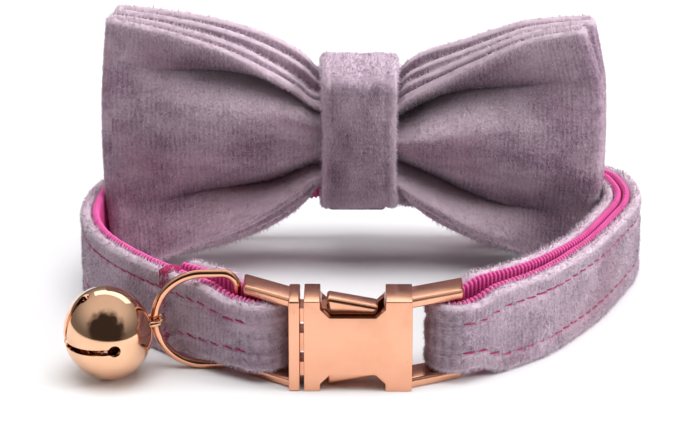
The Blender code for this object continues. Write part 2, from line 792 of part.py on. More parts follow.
def make_band(name, loop, widths, wall, finish, bulge=0.0, shift=0.0):
    """Closed band round the x axis. widths are its width at the ends and at half height."""
    middle = (min(z for _y, z in loop) + max(z for _y, z in loop)) / 2
    half_height = max(z for _y, z in loop) - middle
    width, waist = widths

    def point_at(station, share):
        y, z = station
        off_middle = abs(z - middle) / half_height
        across = waist + (width - waist) * off_middle
        swell = bulge * (1.0 - (2 * share - 1.0) ** 2)
        outwards = -1.0 if y < middle_y else 1.0
        return Vector((shift + (share - 0.5) * across, y + outwards * swell * (1.0 - off_middle**2), z))

    middle_y = (min(y for y, _z in loop) + max(y for y, _z in loop)) / 2
    band = add_part(name, sheet_mesh(name, loop, BAND_ROWS, point_at, True), finish)
    thicken(band, wall)


def make_bow(outline):
    """Two tiers, the knot round their middle, and the elastic loop that the strap passes through."""
    tier_depth = 2 * SHEET_THICKNESS + SHEET_GAP
    make_tier("bow_front_tier", FRONT_TIER, BACK_TIER, BOW_FACE)
    make_tier("bow_back_tier", BACK_TIER, FRONT_TIER, BOW_FACE + tier_depth + TIER_GAP)
    creased = CREASE_DEPTH * interpolate(CREASE_FADE, "depth", KNOT_WIDTH / 2 / BOW_HALF_WIDTH)
    half = KNOT_WALL / 2
    knot_front = BOW_FACE - TOUCH_GAP - half
    knot_back = BOW_FACE + 2 * tier_depth + TIER_GAP + creased + TOUCH_GAP + half
    knot = rounded_loop(knot_front, knot_back, KNOT_BOTTOM + half, KNOT_TOP - half, KNOT_CORNER)
    make_band("bow_knot", knot, (KNOT_WIDTH, KNOT_WAIST), KNOT_WALL, "velvet", KNOT_BULGE, KNOT_SHIFT)

    outer, _inward = outline.place(outline.back)
    layers = 2 * (VELVET_THICKNESS + WEBBING_THICKNESS + TOUCH_GAP) + TOUCH_GAP
    wall = LOOP_WALL / 2
    loop_front = outer.y - layers - TOUCH_GAP - wall
    loop_back = outer.y + TOUCH_GAP + wall
    bottom = BACK_LIFT - TOUCH_GAP - wall
    top = BACK_LIFT + STRAP_HEIGHT + TOUCH_GAP + wall
    loop = rounded_loop(loop_front, loop_back, bottom, top, LOOP_CORNER)
    make_band("bow_loop", loop, (LOOP_WIDTH, LOOP_WIDTH), LOOP_WALL, "elastic")


def centre_over_footprint():
    """Move the whole model so that the middle of its footprint is the origin."""
    bpy.context.view_layer.update()
    depsgraph = bpy.context.evaluated_depsgraph_get()
    low, high = Vector((1, 1, 1)), Vector((-1, -1, -1))
    for part in PARTS.objects:
        if part.type != "MESH":
            continue
        shape = part.evaluated_get(depsgraph)
        for vertex in shape.data.vertices:
            place = part.matrix_world @ vertex.co
            low = Vector(map(min, low, place))
            high = Vector(map(max, high, place))
    middle = (low + high) / 2
    ROOT.location = (-middle.x, -middle.y, -low.z)


clear_scene()
PARTS = new_collection("cat_collar")
CUTTERS = new_collection("cutters")
ROOT = bpy.data.objects.new("collar_root", None)
PARTS.objects.link(ROOT)

ring = RingOutline()
make_strap(ring)
make_buckle_body(ring)
make_buckle_tongue(ring)
make_d_ring_and_bell(ring)
make_bow(ring)
centre_over_footprint()
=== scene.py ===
"""Looks of the cat collar: velvet strap lined with webbing, rose-gold buckle, D-ring with bell, velvet bow tie.

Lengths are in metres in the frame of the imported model. Sizes that describe the collar itself are kept in the
maker's own frame, where y = 0 is the buckle's front face, x = 0 the middle of the collar and z = 0 the table;
Workshop.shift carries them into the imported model's frame.
"""

import logging
from dataclasses import dataclass, field
from enum import Enum
from itertools import accumulate
from math import atan2, ceil, cos, exp, pi, radians, sin, sqrt
from typing import Callable, Sequence, Union

import bmesh
import bpy
import numpy as np
from mathutils import Matrix, Quaternion, Vector, noise


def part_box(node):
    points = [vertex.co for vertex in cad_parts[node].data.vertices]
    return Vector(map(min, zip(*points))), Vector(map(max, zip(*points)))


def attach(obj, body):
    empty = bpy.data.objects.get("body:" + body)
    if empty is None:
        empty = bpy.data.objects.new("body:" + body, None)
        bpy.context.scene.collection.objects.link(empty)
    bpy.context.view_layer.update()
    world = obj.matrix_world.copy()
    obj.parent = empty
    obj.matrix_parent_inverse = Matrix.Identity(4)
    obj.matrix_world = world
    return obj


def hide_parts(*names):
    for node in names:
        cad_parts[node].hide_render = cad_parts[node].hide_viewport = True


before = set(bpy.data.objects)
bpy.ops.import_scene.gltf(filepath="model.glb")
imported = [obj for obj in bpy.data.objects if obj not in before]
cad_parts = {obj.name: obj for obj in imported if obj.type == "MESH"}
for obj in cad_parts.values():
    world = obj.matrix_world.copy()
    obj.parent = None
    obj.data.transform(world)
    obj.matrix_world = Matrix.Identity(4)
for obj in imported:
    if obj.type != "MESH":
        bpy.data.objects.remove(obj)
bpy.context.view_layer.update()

MM = 0.001
NEAR = 0.01 * MM
TABLE_CLEAR = 0.02 * MM
BODY = "root"
PHOTO_WIDTH = 679
LOG = logging.getLogger("cat_collar")

Triple = tuple[float, float, float]
Colour = Triple
Amount = Union[float, Vector]
Section = list[tuple[float, float]]
Place = Callable[[float, float], Vector]


class Channel:
    """One output socket of a material, used in arithmetic that adds Math nodes."""

    def __init__(self, graph: "Graph", socket: bpy.types.NodeSocket) -> None:
        """Wrap a socket.

        Args:
            graph: material graph that the socket belongs to.
            socket: output socket to read.
        """
        self.graph = graph
        self.socket = socket

    def _math(self, operation: str, left: "Input", right: "Input") -> "Channel":
        """Result of a two-input Math node."""
        return self.graph.channel("ShaderNodeMath", {"operation": operation}, {0: left, 1: right})

    def __add__(self, other: "Input") -> "Channel":
        """Sum."""
        return self._math("ADD", self, other)

    __radd__ = __add__

    def __sub__(self, other: "Input") -> "Channel":
        """Difference."""
        return self._math("SUBTRACT", self, other)

    def __rsub__(self, other: "Input") -> "Channel":
        """Difference, reflected."""
        return self._math("SUBTRACT", other, self)

    def __mul__(self, other: "Input") -> "Channel":
        """Product."""
        return self._math("MULTIPLY", self, other)

    __rmul__ = __mul__

    def smooth(self, low: float, high: float) -> "Channel":
        """Smooth step of the value.

        Args:
            low: value that gives 0.
            high: value that gives 1.

        Returns:
            The eased share between the two.
        """
        settings = {"interpolation_type": "SMOOTHSTEP", "clamp": True}
        sockets = {"Value": self, "From Min": low, "From Max": high, "To Min": 0.0, "To Max": 1.0}
        return self.graph.channel("ShaderNodeMapRange", settings, sockets)


Input = Union[Channel, float, Sequence[float]]


class Graph:
    """Node tree of one material or of the room, filled through one method."""

    def __init__(self, owner: Union[bpy.types.Material, bpy.types.World]) -> None:
        """Start an empty node tree.

        Args:
            owner: material or world that the tree belongs to.
        """
        self.owner = owner
        owner.use_nodes = True
        self.tree = owner.node_tree
        self.tree.nodes.clear()

    @classmethod
    def for_material(cls, name: str) -> "Graph":
        """Start the tree of a new material."""
        return cls(bpy.data.materials.new(name))

    def node(self, kind: str, settings: dict[str, object], sockets: dict[Union[int, str], Input]) -> bpy.types.Node:
        """Add a node.

        Args:
            kind: Blender's node type.
            settings: attributes set before the sockets; "stops" holds a ramp's (place, colour) pairs.
            sockets: input sockets by name or index, as values or channels.

        Returns:
            The new node.
        """
        node = self.tree.nodes.new(kind)
        for key, value in settings.items():
            if key == "stops":
                self._fill_ramp(node.color_ramp, value)
            else:
                setattr(node, key, value)
        for key, value in sockets.items():
            if isinstance(value, Channel):
                self.tree.links.new(value.socket, node.inputs[key])
            elif isinstance(value, (tuple, list)) and len(value) == 3 and node.inputs[key].type == "RGBA":
                node.inputs[key].default_value = (*value, 1.0)
            else:
                node.inputs[key].default_value = value
        return node

    @staticmethod
    def _fill_ramp(ramp: bpy.types.ColorRamp, stops: Sequence[tuple[float, Colour]]) -> None:
        """Give a ramp its stops, the first two in the places that a new ramp has."""
        while len(ramp.elements) < len(stops):
            ramp.elements.new(0.5)
        for element, (place, colour) in zip(ramp.elements, stops):
            element.position = place
            element.color = (*colour, 1.0)

    def channel(
        self,
        kind: str,
        settings: dict[str, object],
        sockets: dict[Union[int, str], Input],
        output: Union[int, str] = 0,
    ) -> Channel:
        """Add a node and read one of its outputs.

        Args:
            kind: Blender's node type.
            settings: attributes set before the sockets.
            sockets: input sockets by name or index.
            output: output socket by name or index.

        Returns:
            That output as a channel.
        """
        return Channel(self, self.node(kind, settings, sockets).outputs[output])

    def mix(self, share: Input, first: Input, second: Input, blend: str = "MIX") -> Channel:
        """Mix two colours.

        Args:
            share: how much of the second colour.
            first: colour at share 0.
            second: colour at share 1.
            blend: blend type.

        Returns:
            The mixed colour.
        """
        node = self.node("ShaderNodeMix", {"data_type": "RGBA", "blend_type": blend}, {"Factor": share})
        for index, value in ((6, first), (7, second)):
            if isinstance(value, Channel):
                self.tree.links.new(value.socket, node.inputs[index])
            else:
                node.inputs[index].default_value = (*value, 1.0)
        return Channel(self, node.outputs[2])

    def cloth_place(self) -> Channel:
        """Place on the cloth in millimetres, from the piece's own UV map."""
        uv = self.channel("ShaderNodeUVMap", {"uv_map": "cloth"}, {})
        return self.channel("ShaderNodeVectorMath", {"operation": "SCALE"}, {0: uv, "Scale": 1000.0})

    def object_place(self) -> Channel:
        """Place in the model in millimetres."""
        place = self.channel("ShaderNodeTexCoord", {}, {}, "Object")
        return self.channel("ShaderNodeVectorMath", {"operation": "SCALE"}, {0: place, "Scale": 1000.0})

    def axis(self, place: Channel, name: str) -> Channel:
        """One coordinate of a place."""
        return self.channel("ShaderNodeSeparateXYZ", {}, {0: place}, name)

    def ripple(self, phase: Channel) -> Channel:
        """Sine of a phase, raised to run from 0 to 1."""
        return self.channel("ShaderNodeMath", {"operation": "SINE"}, {0: phase}) * 0.5 + 0.5

    def grain(self, place: Channel, stretch: Triple, scale: float, detail: float = 2.0) -> Channel:
        """Noise on a stretched place.

        Args:
            place: place in millimetres.
            stretch: features per millimetre along each axis, times the scale.
            scale: noise scale.
            detail: octaves of the noise.

        Returns:
            Noise from 0 to 1.
        """
        moved = self.channel("ShaderNodeMapping", {}, {"Vector": place, "Scale": stretch})
        sockets = {"Vector": moved, "Scale": scale, "Detail": detail, "Roughness": 0.55}
        return self.channel("ShaderNodeTexNoise", {"noise_dimensions": "3D"}, sockets)

    def attribute(self, name: str) -> Channel:
        """A number that the piece's mesh carries at each vertex."""
        return self.channel("ShaderNodeAttribute", {"attribute_name": name}, {}, "Fac")

    def bump(self, height: Channel, distance: float, strength: float = 1.0) -> Channel:
        """Surface relief.

        Args:
            height: relief from 0 to 1.
            distance: height of the relief in metres.
            strength: share of the effect.

        Returns:
            The bent normal.
        """
        return self.channel(
            "ShaderNodeBump", {}, {"Height": height, "Distance": distance, "Strength": strength}, "Normal"
        )

    def finish(self, sockets: dict[str, Input]) -> bpy.types.Material:
        """Close the material with a Principled shader.

        Args:
            sockets: the shader's sockets.

        Returns:
            The material.
        """
        shader = self.channel("ShaderNodeBsdfPrincipled", {}, sockets)
        self.node("ShaderNodeOutputMaterial", {}, {"Surface": shader})
        return self.owner


@dataclass(frozen=True)
class VelvetFinish:
    """Short-pile velvet: brushed patches, fine streaks both ways, edges paled by edge wear and painted highlight,
    painted light on upward faces and fibre tips, and painted shade in creases and seams.
    """

    name: str
    pile: Colour = (0.315, 0.200, 0.290)
    shadow: Colour = (0.142, 0.084, 0.130)
    # Pale colour of brushed patches and edge wear, and of the painted highlights on rims, upward faces and fibre tips.
    bright: Colour = (0.78, 0.63, 0.72)
    # Colour of the painted shade in creases, along seams and next to the knot.
    fold: Colour = (0.050, 0.027, 0.042)
    warm: Colour = (0.40, 0.235, 0.30)
    column_pitch: float = 0.62
    brushed_share: float = 0.50
    warm_share: float = 0.50
    wear_and_highlight_share: float = 0.80
    fold_shade_share: float = 0.80
    relief: float = 0.16 * MM

    def material(self) -> bpy.types.Material:
        """Build the material."""
        graph = Graph.for_material(self.name)
        place = graph.cloth_place()
        across = graph.grain(place, (0.8, 2.6, 1.0), 1.0, 3.0)
        streak = graph.grain(place, (3.0, 0.55, 1.0), 1.0, 3.0)
        speckle = graph.grain(place, (2.2, 2.2, 1.0), 1.5, 3.0)
        patches = graph.grain(place, (0.13, 0.20, 1.0), 1.0, 4.0)
        drift = graph.grain(place, (0.05, 0.09, 1.0), 1.0, 2.0)
        wander = streak * 6.0 + speckle * 3.0
        columns = graph.ripple(graph.axis(place, "X") * (2 * pi / self.column_pitch) + wander)
        shade = across * 0.24 + streak * 0.26 + speckle * 0.44 + columns * 0.06
        tone = shade.smooth(0.36, 0.62)
        brushed = (patches * 0.8 + shade * 0.5).smooth(0.44, 0.84)
        colour = graph.mix(tone, self.shadow, self.pile)
        colour = graph.mix(brushed * self.brushed_share, colour, self.bright)
        colour = graph.mix(drift.smooth(0.45, 0.70) * self.warm_share, colour, self.warm)
        # Rims and hems are paled partly by edge wear and partly by painted highlight; upward faces ('top') get painted
        # light from above.
        rim_wear_and_highlight = graph.attribute("edge") * 0.60 + graph.attribute("hem") * 0.24
        lit = rim_wear_and_highlight + graph.attribute("top").smooth(0.08, 0.80)
        wear_and_highlight = (lit * (speckle * 0.9 + 0.45)).smooth(0.10, 0.95)
        colour = graph.mix(wear_and_highlight * self.wear_and_highlight_share, colour, self.bright)
        # Painted highlight on fibre tips; the darker roots and cloth under them stand for painted shade beneath the
        # pile.
        tip = graph.attribute("tone")
        colour = graph.mix(tip * (shade * 0.9 + 0.10), colour, self.bright)
        # Painted shade in creases, along seams, next to the knot and along the knot's hems, from the mesh's fold mask.
        deep = graph.attribute("fold").smooth(0.10, 1.0)
        colour = graph.mix(deep * self.fold_shade_share, colour, self.fold)
        return graph.finish(
            {
                "Base Color": colour,
                "Roughness": 0.86 + speckle * 0.12,
                "Specular IOR Level": 0.10,
                "Sheen Weight": 0.50,
                "Sheen Roughness": 0.32,
                "Sheen Tint": (0.98, 0.88, 0.96, 1.0),
                "Normal": graph.bump(shade, self.relief, 0.9),
            }
        )


@dataclass(frozen=True)
class WebbingFinish:
    """Hot-pink ribbed webbing with a bright selvedge."""

    name: str
    rib: Colour = (0.68, 0.055, 0.265)
    # Colour of the painted shade in the valleys between ribs.
    valley: Colour = (0.33, 0.010, 0.120)
    selvedge: Colour = (0.93, 0.170, 0.50)
    yarn_pitch: float = 0.42
    relief: float = 0.12 * MM

    def material(self) -> bpy.types.Material:
        """Build the material."""
        graph = Graph.for_material(self.name)
        place = graph.cloth_place()
        twist = graph.grain(place, (1.0, 3.2, 1.0), 1.6, 2.0)
        fibres = graph.grain(place, (7.0, 2.0, 1.0), 1.6, 2.0)
        ribbed = graph.attribute("rib")
        pick = graph.ripple(graph.axis(place, "Y") * (2 * pi / self.yarn_pitch) + twist * 2.2)
        weave = (ribbed * 0.72 + pick * 0.28).smooth(0.12, 0.85)
        # Sunk valleys between ribs take the painted shade colour, broken up by the yarn pattern.
        colour = graph.mix(weave, self.valley, self.rib)
        colour = graph.mix(fibres.smooth(0.45, 0.75) * 0.30, colour, self.selvedge)
        edge = graph.attribute("edge")
        colour = graph.mix(edge.smooth(0.25, 0.8) * (ribbed.smooth(0.25, 0.9) * 0.85 + 0.05), colour, self.selvedge)
        return graph.finish(
            {
                "Base Color": colour,
                "Roughness": 0.52 + fibres * 0.2,
                "Specular IOR Level": 0.35,
                "Sheen Weight": 0.18,
                "Sheen Roughness": 0.45,
                "Sheen Tint": (1.0, 0.75, 0.9, 1.0),
                "Normal": graph.bump(weave * 0.7 + fibres * 0.3, self.relief, 0.8),
            }
        )


@dataclass(frozen=True)
class ThreadFinish:
    """Twisted polyester sewing thread."""

    name: str
    colour: Colour = (0.30, 0.012, 0.075)
    light: Colour = (0.55, 0.050, 0.180)
    relief: float = 0.03 * MM

    def material(self) -> bpy.types.Material:
        """Build the material."""
        graph = Graph.for_material(self.name)
        place = graph.object_place()
        twist = graph.grain(place, (3.0, 3.0, 3.0), 2.4, 2.0)
        colour = graph.mix(twist.smooth(0.35, 0.7), self.colour, self.light)
        return graph.finish(
            {
                "Base Color": colour,
                "Roughness": 0.42 + twist * 0.25,
                "Specular IOR Level": 0.4,
                "Normal": graph.bump(twist, self.relief, 0.6),
            }
        )


@dataclass(frozen=True)
class ElasticFinish:
    """Knitted elastic, matt and ribbed along its length."""

    name: str
    colour: Colour = (0.36, 0.25, 0.36)
    valley: Colour = (0.20, 0.13, 0.20)
    rib_pitch: float = 0.55
    relief: float = 0.10 * MM

    def material(self) -> bpy.types.Material:
        """Build the material."""
        graph = Graph.for_material(self.name)
        place = graph.cloth_place()
        ribs = graph.ripple(graph.axis(place, "Y") * (2 * pi / self.rib_pitch))
        loops = graph.grain(place, (2.4, 2.4, 1.0), 1.6, 2.0)
        knit = ribs * 0.65 + loops * 0.35
        return graph.finish(
            {
                "Base Color": graph.mix(knit, self.valley, self.colour),
                "Roughness": 0.72 + loops * 0.15,
                "Specular IOR Level": 0.25,
                "Normal": graph.bump(knit, self.relief, 0.8),
            }
        )


class Polish(Enum):
    """How a metal surface is finished."""

    SATIN = "satin"
    MIRROR = "mirror"


@dataclass(frozen=True)
class MetalFinish:
    """Rose-gold plating over cast or drawn metal."""

    name: str
    polish: Polish
    colour: Colour = (0.84, 0.425, 0.275)
    tarnish: Colour = (0.76, 0.345, 0.210)

    def material(self) -> bpy.types.Material:
        """Build the material."""
        graph = Graph.for_material(self.name)
        place = graph.object_place()
        cloud = graph.grain(place, (0.35, 0.35, 0.35), 1.0, 3.0)
        hairline = graph.grain(place, (0.5, 6.0, 7.0), 1.4, 2.0)
        wear = graph.grain(place, (1.6, 1.6, 1.6), 1.2, 4.0)
        smoothest, spread, relief = {
            Polish.SATIN: (0.17, 0.10, 0.006 * MM),
            Polish.MIRROR: (0.045, 0.05, 0.002 * MM),
        }[self.polish]
        colour = graph.mix(cloud.smooth(0.4, 0.75) * 0.35, self.colour, self.tarnish)
        rough = smoothest + cloud * spread + wear.smooth(0.62, 0.8) * spread
        return graph.finish(
            {
                "Base Color": colour,
                "Metallic": 1.0,
                "Roughness": rough,
                "Normal": graph.bump(hairline * 0.6 + wear * 0.4, relief, 0.5),
            }
        )


@dataclass(frozen=True)
class TableFinish:
    """Matt white table top."""

    name: str
    colour: Colour = (0.93, 0.93, 0.94)

    def material(self) -> bpy.types.Material:
        """Build the material."""
        graph = Graph.for_material(self.name)
        place = graph.object_place()
        paper = graph.grain(place, (0.05, 0.05, 0.05), 1.0, 4.0)
        colour = graph.mix(paper.smooth(0.3, 0.8) * 0.25, self.colour, (0.95, 0.95, 0.955))
        return graph.finish({"Base Color": colour, "Roughness": 0.85, "Specular IOR Level": 0.1})


def ease(share: float) -> float:
    """Smooth step from 0 to 1."""
    share = min(max(share, 0.0), 1.0)
    return share * share * (3.0 - 2.0 * share)


def bell_curve(away: float) -> float:
    """Round hump that is 1 at 0 and 0 from 1 on."""
    return (1.0 + cos(pi * away)) / 2 if abs(away) < 1.0 else 0.0


def hermite(start: Amount, slope_in: Amount, end: Amount, slope_out: Amount, share: float) -> Amount:
    """Smooth way from one value to another with given slopes.

    Args:
        start: value at share 0.
        slope_in: slope there, over the whole way.
        end: value at share 1.
        slope_out: slope there, over the whole way.
        share: how far along the way.

    Returns:
        The value at that share.
    """
    cube, square = share**3, share**2
    return (
        start * (2 * cube - 3 * square + 1)
        + slope_in * (cube - 2 * square + share)
        + end * (3 * square - 2 * cube)
        + slope_out * (cube - square)
    )


def read_array(items: bpy.types.bpy_prop_collection, name: str, width: int = 1, kind: type = float) -> np.ndarray:
    """One property of each item of a mesh.

    Args:
        items: the mesh's items, such as its vertices.
        name: the property.
        width: how many numbers it has.
        kind: kind of number.

    Returns:
        The numbers, in a row for each item where the property has several.
    """
    values = np.empty(len(items) * width, dtype=kind)
    items.foreach_get(name, values)
    return values.reshape(-1, width) if width > 1 else values


def write_numbers(mesh: bpy.types.Mesh, numbers: dict[str, Sequence[float]]) -> None:
    """Give a mesh's vertices the numbers that its material reads, by name."""
    for name, values in numbers.items():
        mesh.attributes.new(name, "FLOAT", "POINT").data.foreach_set("value", values)


def reading(table: Sequence[tuple[float, ...]], column: int, value: float) -> float:
    """Smooth reading of a table that is sorted by its first column.

    Args:
        table: rows of numbers.
        column: column to read.
        value: place in the first column.

    Returns:
        Catmull-Rom value of that column.
    """
    last = len(table) - 1
    if value <= table[0][0]:
        return table[0][column]
    if value >= table[last][0]:
        return table[last][column]
    index = next(i for i in range(last) if value <= table[i + 1][0])
    start, end = table[index], table[index + 1]
    before, after = table[max(index - 1, 0)], table[min(index + 2, last)]
    span = end[0] - start[0]
    share = (value - start[0]) / span
    slope_in = (end[column] - before[column]) / (end[0] - before[0]) * span
    slope_out = (after[column] - start[column]) / (after[0] - start[0]) * span
    return hermite(start[column], slope_in, end[column], slope_out, share)


def cloth_section(height: float, thickness: float, rows: int, cap: int) -> Section:
    """Cross-section of a cloth strip with round edges.

    Args:
        height: width of the strip.
        thickness: its thickness.
        rows: steps up each face.
        cap: steps round each edge.

    Returns:
        (height, offset) pairs round the strip, up the face at +offset first.
    """
    radius = thickness / 2
    flat = height - 2 * radius
    points = [(radius + flat * row / rows, radius) for row in range(rows + 1)]
    for step in range(1, cap):
        angle = pi * step / cap
        points.append((height - radius + radius * sin(angle), radius * cos(angle)))
    points += [(height - radius - flat * row / rows, -radius) for row in range(rows + 1)]
    for step in range(1, cap):
        angle = pi * step / cap
        points.append((radius - radius * sin(angle), -radius * cos(angle)))
    return points


@dataclass
class Column:
    """One cross-section of a cloth strip: where its points go, how much painted shade it takes there and how high its
    webbing rib stands.
    """

    along: float
    place: Place
    fold: Callable[[float], float] = lambda height: 0.0
    rib: float = 0.0


class ClothMesh:
    """Closed mesh of a cloth strip, with its UV map in metres and the numbers that its material reads."""

    EDGE_REACH = 0.9 * MM
    # Reach of the hem mask, which the velvet uses for painted highlight near the edges.
    HEM_REACH = 3.0 * MM

    def __init__(self, name: str, columns: list[Column], section: Section, closed: bool) -> None:
        """Build the mesh.

        Args:
            name: name of the piece.
            columns: cross-sections in order along the strip.
            section: (height, offset) pairs round each of them.
            closed: whether the last column joins the first.
        """
        self.name = name
        self.columns = columns
        self.section = section
        self.closed = closed
        self.height = max(height for height, _offset in section)

    def _faces(self) -> list[tuple[int, ...]]:
        """Quads between the columns, and the end caps of an open strip."""
        count, around = len(self.columns), len(self.section)
        faces: list[tuple[int, ...]] = []
        for index in range(count if self.closed else count - 1):
            here, there = index * around, (index + 1) % count * around
            for step in range(around):
                after = (step + 1) % around
                faces.append((here + step, there + step, there + after, here + after))
        if not self.closed:
            half = around // 2
            for base, flip in ((0, False), ((count - 1) * around, True)):
                for step in range(half):
                    first, second = base + step, base + (step + 1) % around
                    third, fourth = base + (around - step - 2) % around, base + around - 1 - step
                    ring = [first, second, third, fourth]
                    ring = list(dict.fromkeys(ring))
                    if len(ring) > 2 and step < half - 1:
                        faces.append(tuple(reversed(ring)) if flip else tuple(ring))
        return faces

    def _around(self) -> list[float]:
        """Length round the section up to each of its points, and right round."""
        lengths = [0.0]
        for (h0, o0), (h1, o1) in zip(self.section, self.section[1:] + self.section[:1]):
            lengths.append(lengths[-1] + sqrt((h1 - h0) ** 2 + (o1 - o0) ** 2))
        return lengths

    def build(self) -> bpy.types.Object:
        """Make the object.

        Returns:
            The cloth piece, its place in its mesh.
        """
        around = len(self.section)
        vertices = [column.place(height, offset) for column in self.columns for height, offset in self.section]
        mesh = bpy.data.meshes.new(self.name)
        mesh.from_pydata([tuple(v) for v in vertices], [], self._faces())
        lengths = self._around()
        total = (self.columns[-1].along - self.columns[0].along) * (1.0 + 1.0 / len(self.columns))
        uv = mesh.uv_layers.new(name="cloth")
        coords: list[float] = []
        for face in mesh.polygons:
            ring = [mesh.loops[i].vertex_index for i in face.loop_indices]
            steps = [v % around for v in ring]
            wraps_round = max(steps) - min(steps) > around // 2 and len(ring) == 4
            firsts = [v // around for v in ring]
            wraps_along = self.closed and max(firsts) - min(firsts) > len(self.columns) // 2
            for step, first in zip(steps, firsts):
                u = self.columns[first].along
                v = lengths[step]
                if wraps_along and first == 0:
                    u = self.columns[0].along + total
                if wraps_round and step == 0:
                    v = lengths[-1]
                coords += [u, v]
        uv.data.foreach_set("uv", coords)
        self._numbers(mesh)
        obj = bpy.data.objects.new(self.name, mesh)
        bpy.context.scene.collection.objects.link(obj)
        Bench.outwards(obj)
        mesh.shade_smooth()
        # Upward-facing share of each vertex, used by the velvet for painted light from above.
        write_numbers(mesh, {"top": np.maximum(read_array(mesh.vertex_normals, "vector", 3)[:, 2], 0.0)})
        return obj

    def _numbers(self, mesh: bpy.types.Mesh) -> None:
        """Write how near the edge and the hem, how much painted shade of folds and seams, how high on a rib, how piled
        each vertex is.
        """
        edge, hem, fold, rib, pile = [], [], [], [], []
        thickness = max(offset for _height, offset in self.section) * 2
        for column in self.columns:
            for height, offset in self.section:
                away = min(height, self.height - height)
                edge.append(exp(-away / self.EDGE_REACH))
                hem.append(exp(-away / self.HEM_REACH))
                fold.append(column.fold(height))
                rib.append(column.rib)
                pile.append(1.0 if offset > -0.4 * thickness else 0.0)
        write_numbers(mesh, {"edge": edge, "hem": hem, "fold": fold, "rib": rib, "pile": pile})


@dataclass(frozen=True)
class Pile:
    """Fine fibres of a velvet, brushed one way, each a thin blade that stands on the cloth."""

    name: str
    count: int
    brush: Triple
    length: float = 0.40 * MM
    rim_length: float = 0.20 * MM
    width: float = 0.085 * MM
    lean: float = 0.80
    stray: float = 0.30
    upright: float = 0.60
    root_depth: float = 0.04 * MM
    shade_spread: float = 0.30
    bare_seam: float = 0.0
    seed: int = 7

    def grow(self, cloth: bpy.types.Object) -> bpy.types.Object:
        """Grow the fibres on the outer face and the rims of a cloth.

        Args:
            cloth: the cloth piece, made by ClothMesh.

        Returns:
            The fibres as one piece, which carries the cloth's UV map and numbers.
        """
        mesh = cloth.data
        rng = np.random.default_rng(self.seed)
        mesh.calc_loop_triangles()
        corners = read_array(mesh.loop_triangles, "vertices", 3, np.int64)
        loops = read_array(mesh.loop_triangles, "loops", 3, np.int64)
        areas = read_array(mesh.loop_triangles, "area")
        places = read_array(mesh.vertices, "co", 3)
        normals = read_array(mesh.vertex_normals, "vector", 3)
        uv = read_array(mesh.uv_layers["cloth"].data, "uv", 2)
        # The masks for edge wear, painted highlight and painted shade go over to the fibres.
        carried = {name: read_array(mesh.attributes[name].data, "value") for name in ("edge", "hem", "fold", "top")}
        bare = np.clip(carried["fold"] * self.bare_seam, 0.0, 0.96)
        pile = read_array(mesh.attributes["pile"].data, "value") * (1.0 - bare)

        weights = areas * pile[corners].mean(axis=1)
        picked = rng.choice(len(areas), size=self.count, p=weights / weights.sum())
        shares = rng.random((self.count, 2))
        outside = shares.sum(axis=1) > 1.0
        shares[outside] = 1.0 - shares[outside]
        shares = np.column_stack([1.0 - shares.sum(axis=1), shares])

        def blend(values: np.ndarray, index: np.ndarray) -> np.ndarray:
            """Value of each fibre's root from the three corners round it."""
            three = values[index[picked]]
            return np.einsum("ij,ij...->i...", shares, three)

        root, normal = blend(places, corners), self._unit(blend(normals, corners))
        numbers = {name: blend(values, corners) for name, values in carried.items()}
        brush = np.array(self.brush)
        flat_brush = brush - normal * (normal @ brush)[:, None]
        heading = normal * self.upright + flat_brush * self.lean + rng.normal(0.0, self.stray, (self.count, 3))
        heading = self._unit(heading)
        side = self._unit(np.cross(heading, normal)) * (self.width / 2)
        reach = (self.length + self.rim_length * numbers["edge"]) * rng.uniform(0.6, 1.25, self.count)
        sunk = root - normal * self.root_depth
        blades = np.stack([sunk - side, sunk + side, root + heading * reach[:, None]], axis=1)
        blades[:, :, 2] = np.maximum(blades[:, :, 2], TABLE_CLEAR)
        return self._piece(
            blades.reshape(-1, 3),
            self._unit(normal + rng.normal(0.0, self.shade_spread, (self.count, 3))),
            blend(uv, loops),
            numbers,
            rng.random(self.count),
        )

    @staticmethod
    def _unit(vectors: np.ndarray) -> np.ndarray:
        """Vectors of length 1."""
        return vectors / np.maximum(np.linalg.norm(vectors, axis=1), 1e-9)[:, None]

    def _piece(
        self,
        corners: np.ndarray,
        normals: np.ndarray,
        uv: np.ndarray,
        numbers: dict[str, np.ndarray],
        chance: np.ndarray,
    ) -> bpy.types.Object:
        """Make one piece of all blades.

        Args:
            corners: three corners for each blade, its tip last.
            normals: shading normal of each blade.
            uv: place on the cloth of each blade.
            numbers: what the cloth carries at each blade's root.
            chance: random share of each blade.

        Returns:
            The piece.
        """
        mesh = bpy.data.meshes.new(self.name)
        mesh.from_pydata(corners.tolist(), [], np.arange(len(corners)).reshape(-1, 3).tolist())
        layer = mesh.uv_layers.new(name="cloth")
        layer.data.foreach_set("uv", np.repeat(uv, 3, axis=0).ravel())
        # Random tone per blade plus a painted highlight at its tip, the root left darker as painted shade.
        tone = np.repeat(chance * 0.45, 3)
        tone[2::3] += 0.45
        write_numbers(mesh, {name: np.repeat(number, 3) for name, number in numbers.items()} | {"tone": tone})
        mesh.shade_smooth()
        mesh.normals_split_custom_set_from_vertices(np.repeat(normals, 3, axis=0).tolist())
        obj = bpy.data.objects.new(self.name, mesh)
        bpy.context.scene.collection.objects.link(obj)
        return obj


